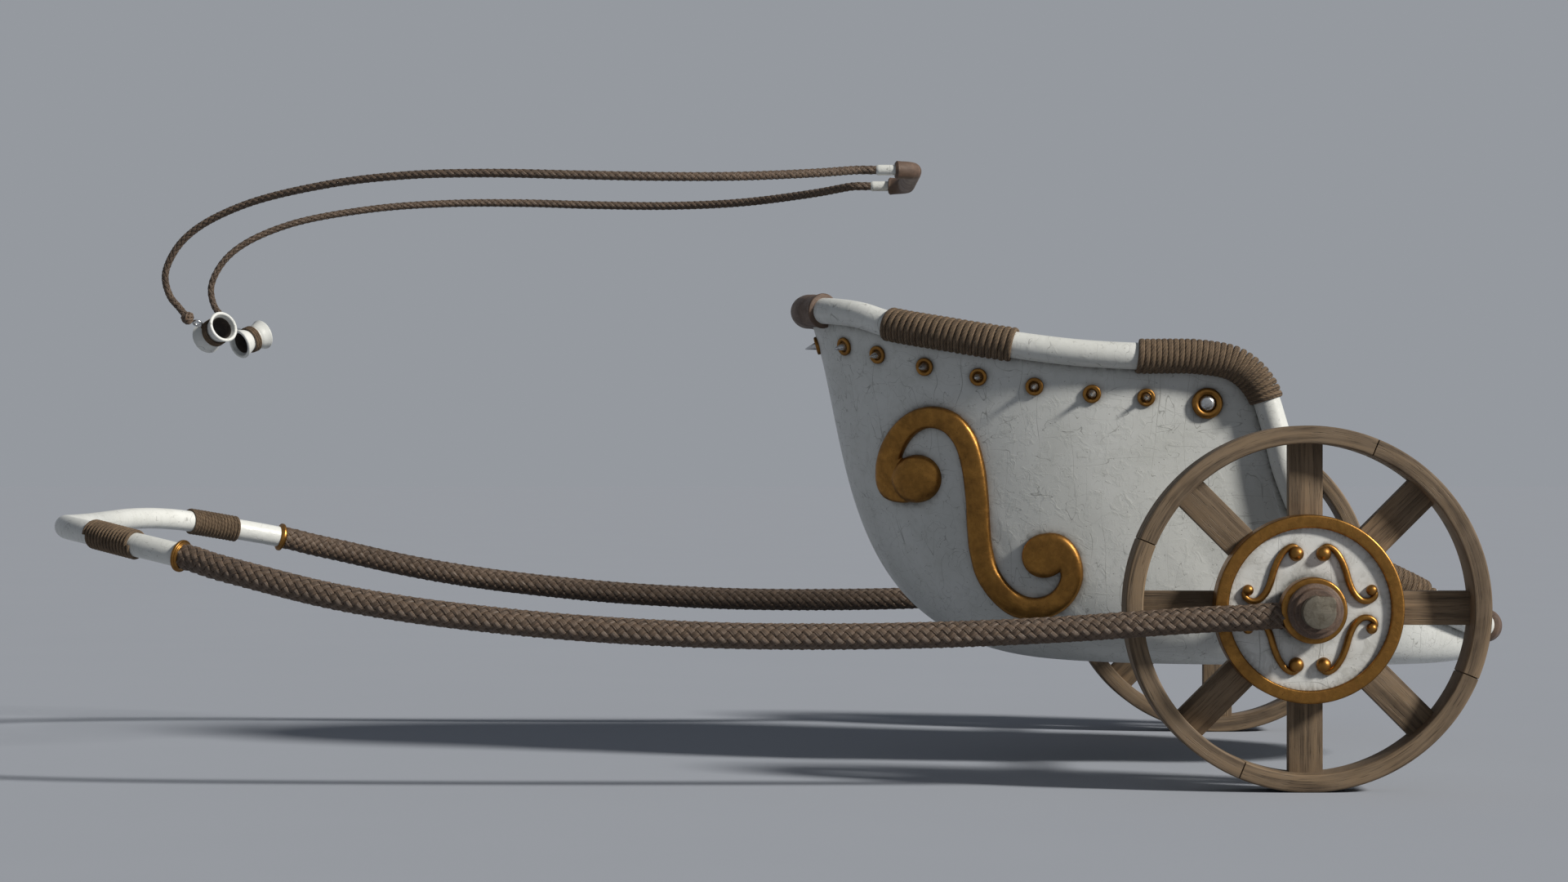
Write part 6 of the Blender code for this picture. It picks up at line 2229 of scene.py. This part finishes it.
    def plaited_ball(self, centre: np.ndarray, lead: np.ndarray, name: str) -> bpy.types.Object:
        """Return a ball knot of strands wound round it in tilted rings.

        Args:
            centre: the ball's middle.
            lead: the way that the rope leaves it.
            name: the piece's name.

        Returns:
            The knot.
        """
        lead = unit(lead)
        side = unit(np.cross(lead, UP))
        third = np.cross(lead, side)
        radius = self.knot_radius - self.knot_strand
        pieces = [turned_skin(ball_profile(radius, 10), centre, lead, 24).add("core")]
        turns = circle(48)
        for number, (tilt, swing) in enumerate(self.knot_rings):
            pole = unit(math.cos(tilt) * lead + math.sin(tilt) * (math.cos(swing) * side
                                                                 + math.sin(swing) * third))
            first = unit(np.cross(pole, lead))
            second = np.cross(pole, first)
            wave = 1.0 + 0.05 * np.cos(turns * 3 + number)
            points = centre + radius * wave[:, None] * (
                np.cos(turns)[:, None] * first + np.sin(turns)[:, None] * second)
            loop = Line(np.vstack([points, points[:1]]))
            stations = np.linspace(0, loop.length, 48, endpoint=False)
            pieces.append(tube_skin(loop, stations, 0.0036, 8, loop=True, lead=pole).add("strand"))
        ball = merge(name, pieces)
        offset = read_points(ball.data) - centre
        store(ball.data, "along", offset @ lead)
        store(ball.data, "round", offset @ np.cross(lead, UP) * 20)
        return ball

    def both_ends(self, half: Sequence[Spot], count: int) -> list[Spot]:
        """Return a smooth profile through one half's places and those of the other half."""
        places = [*half, *[(radius, -height) for radius, height in reversed(half)]]
        route = smooth_route([(*place, 0.0) for place in places], count)
        return [(radius, height) for radius, height, _ in route]

    def build_cuff(self, side: Side) -> None:
        """Build one cuff and the thin near-black sheet in its bore, which is painted shade."""
        end, waist, rim = self.cuff_length / 2, self.waist_half, self.rim_thickness / 2
        outer = self.both_ends([(self.flare_radius, -end + 0.004), (0.0375, -end + 0.015),
                                (0.0335, -waist - 0.005), (self.waist_radius, -waist)], 40)
        inner = self.both_ends([(self.flare_radius - self.rim_thickness, end - rim),
                                (self.bore_radius + 0.002, end - 0.020),
                                (self.bore_radius, waist)], 30)
        far = [(self.flare_radius - rim + rim * math.cos(a), end - rim + rim * math.sin(a))
               for a in np.linspace(0, math.pi, 10)[1:-1]]
        near = [(radius, -height) for radius, height in reversed(far)]
        # A thin sheet just inside the bore's face, finished near-black: painted shade.
        facing = [(radius - 0.0004, height) for radius, height in inner[3:-3]]
        back = [(radius - 0.0008, height) for radius, height in reversed(facing)]
        centre, axis = np.array(self.cuff_centre) * side.flip, self.axis * side.flip
        for name, profile, finish, nodes in (
                ("cuff_paint", outer + far + inner + near, PAINT, ("rein_cuff",)),
                ("cuff_lining", facing + back, BORE_SHADE, ())):
            item = turned_skin(profile, centre, axis, 56).add(f"{name}_{side.word}")
            self.shop.settle(item, f"cuff_{side.word}", finish,
                             *[f"{node}_{side.word}" for node in nodes])

    def build_lashing(self, side: Side) -> None:
        """Build the cord lashed round one cuff's waist."""
        count, sides = 145, 10
        turns = np.linspace(0, 2 * math.pi * self.lashing_turns, count)[:, None]
        climb = np.linspace(-self.lashing_half, self.lashing_half, count)[:, None]
        across = np.cross(self.axis, self.toward)
        points = (np.array(self.cuff_centre) + climb * self.axis + (self.waist_radius + 0.0030) * (
            np.cos(turns) * self.toward + np.sin(turns) * across)) * side.flip
        line = Line(points)
        spots = np.linspace(0, line.length, count)
        cord = tube_skin(line, spots, self.lashing_radius, sides, lead=self.axis * side.flip)
        lashing = cord.add(f"lashing_cord_{side.word}")
        store(lashing.data, "along", np.repeat(spots, sides))
        store(lashing.data, "round", np.tile(np.arange(sides) / sides, count))
        self.shop.settle(lashing, f"cuff_{side.word}", CORD, f"cuff_lashing_{side.word}")


@dataclass
class Studio:
    """The camera, the lamps, the world and the plain floor."""

    shop: Workshop
    camera_at: tuple = (-0.0115, -10.08, 0.862)
    lens: float = 85.0
    sensor: float = 36.0
    sun_from: tuple = (0.744, -0.406, 0.530)
    sun_strength: float = 4.3
    sun_spread: float = 8.0
    sun_colour: Colour = (1.0, 0.965, 0.91)
    shade: Colour = (0.55, 0.60, 0.68)
    shade_strength: float = 0.22
    backdrop: Colour = (0.301, 0.319, 0.347)
    floor_reach: float = 60.0

    def build(self) -> None:
        """Build the studio."""
        scene = bpy.context.scene
        scene.view_settings.view_transform = "Standard"
        camera = bpy.data.cameras.new("camera")
        camera.lens = self.lens
        camera.sensor_width = self.sensor
        stand = link_object("camera", camera)
        stand.location = self.camera_at
        stand.rotation_euler = (math.pi / 2, 0.0, 0.0)
        scene.camera = stand
        lamp = bpy.data.lights.new("key", "SUN")
        lamp.energy = self.sun_strength
        lamp.angle = math.radians(self.sun_spread)
        lamp.color = self.sun_colour
        key = link_object("key", lamp)
        key.rotation_euler = Vector(self.sun_from).to_track_quat("Z", "Y").to_euler()
        self.build_world(scene)
        self.build_floor()

    def build_world(self, scene: bpy.types.Scene) -> None:
        """Light softly from all round, and show the backdrop's colour itself."""
        world = bpy.data.worlds.new("studio")
        scene.world = world
        world.use_nodes = True
        graph = Graph(world.node_tree)
        soft = world.node_tree.nodes["Background"]
        soft.inputs["Color"].default_value = rgba(self.shade)
        soft.inputs["Strength"].default_value = self.shade_strength
        seen = graph.add("ShaderNodeBackground", {"Color": rgba(self.backdrop), "Strength": 1.0})
        rays = graph.add("ShaderNodeLightPath")
        clear = graph.math("MAXIMUM", rays.outputs["Is Camera Ray"],
                           rays.outputs["Is Transmission Ray"])
        clear = graph.math("MAXIMUM", clear, rays.outputs["Is Glossy Ray"])
        blend = graph.add("ShaderNodeMixShader", {0: clear})
        world.node_tree.links.new(soft.outputs[0], blend.inputs[1])
        world.node_tree.links.new(seen.outputs[0], blend.inputs[2])
        out = world.node_tree.nodes["World Output"]
        world.node_tree.links.new(blend.outputs[0], out.inputs["Surface"])

    def build_floor(self) -> None:
        """Build the wide, plain floor."""
        mesh = bpy.data.meshes.new("floor")
        reach = self.floor_reach
        corners = oblong((-reach, -reach), (reach, reach))
        mesh.from_pydata([(*corner, 0) for corner in corners], [], [(0, 1, 2, 3)])
        floor = link_object("floor", mesh)
        self.shop.dress(floor, FLOOR)
        floor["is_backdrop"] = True


def note_size(key: str, sizes: dict) -> None:
    """Note the part's box under a key, as plain lists."""
    low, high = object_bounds()
    sizes[key] = [[float(value) for value in low], [float(value) for value in high]]


def main() -> dict:
    """Dress the whole chariot and return its box before and after."""
    logging.basicConfig(level=logging.INFO, format="%(message)s")
    sizes: dict = {}
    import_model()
    note_size("frame", sizes)
    shop = Workshop()
    Studio(shop).build()
    Reins(shop).build()
    DraughtBow(shop).build()
    Car(shop).build()
    for side in Side:
        Wheel(shop, side).build()
    note_size("dressed", sizes)
    return sizes


if __name__ == "__main__":
    main()
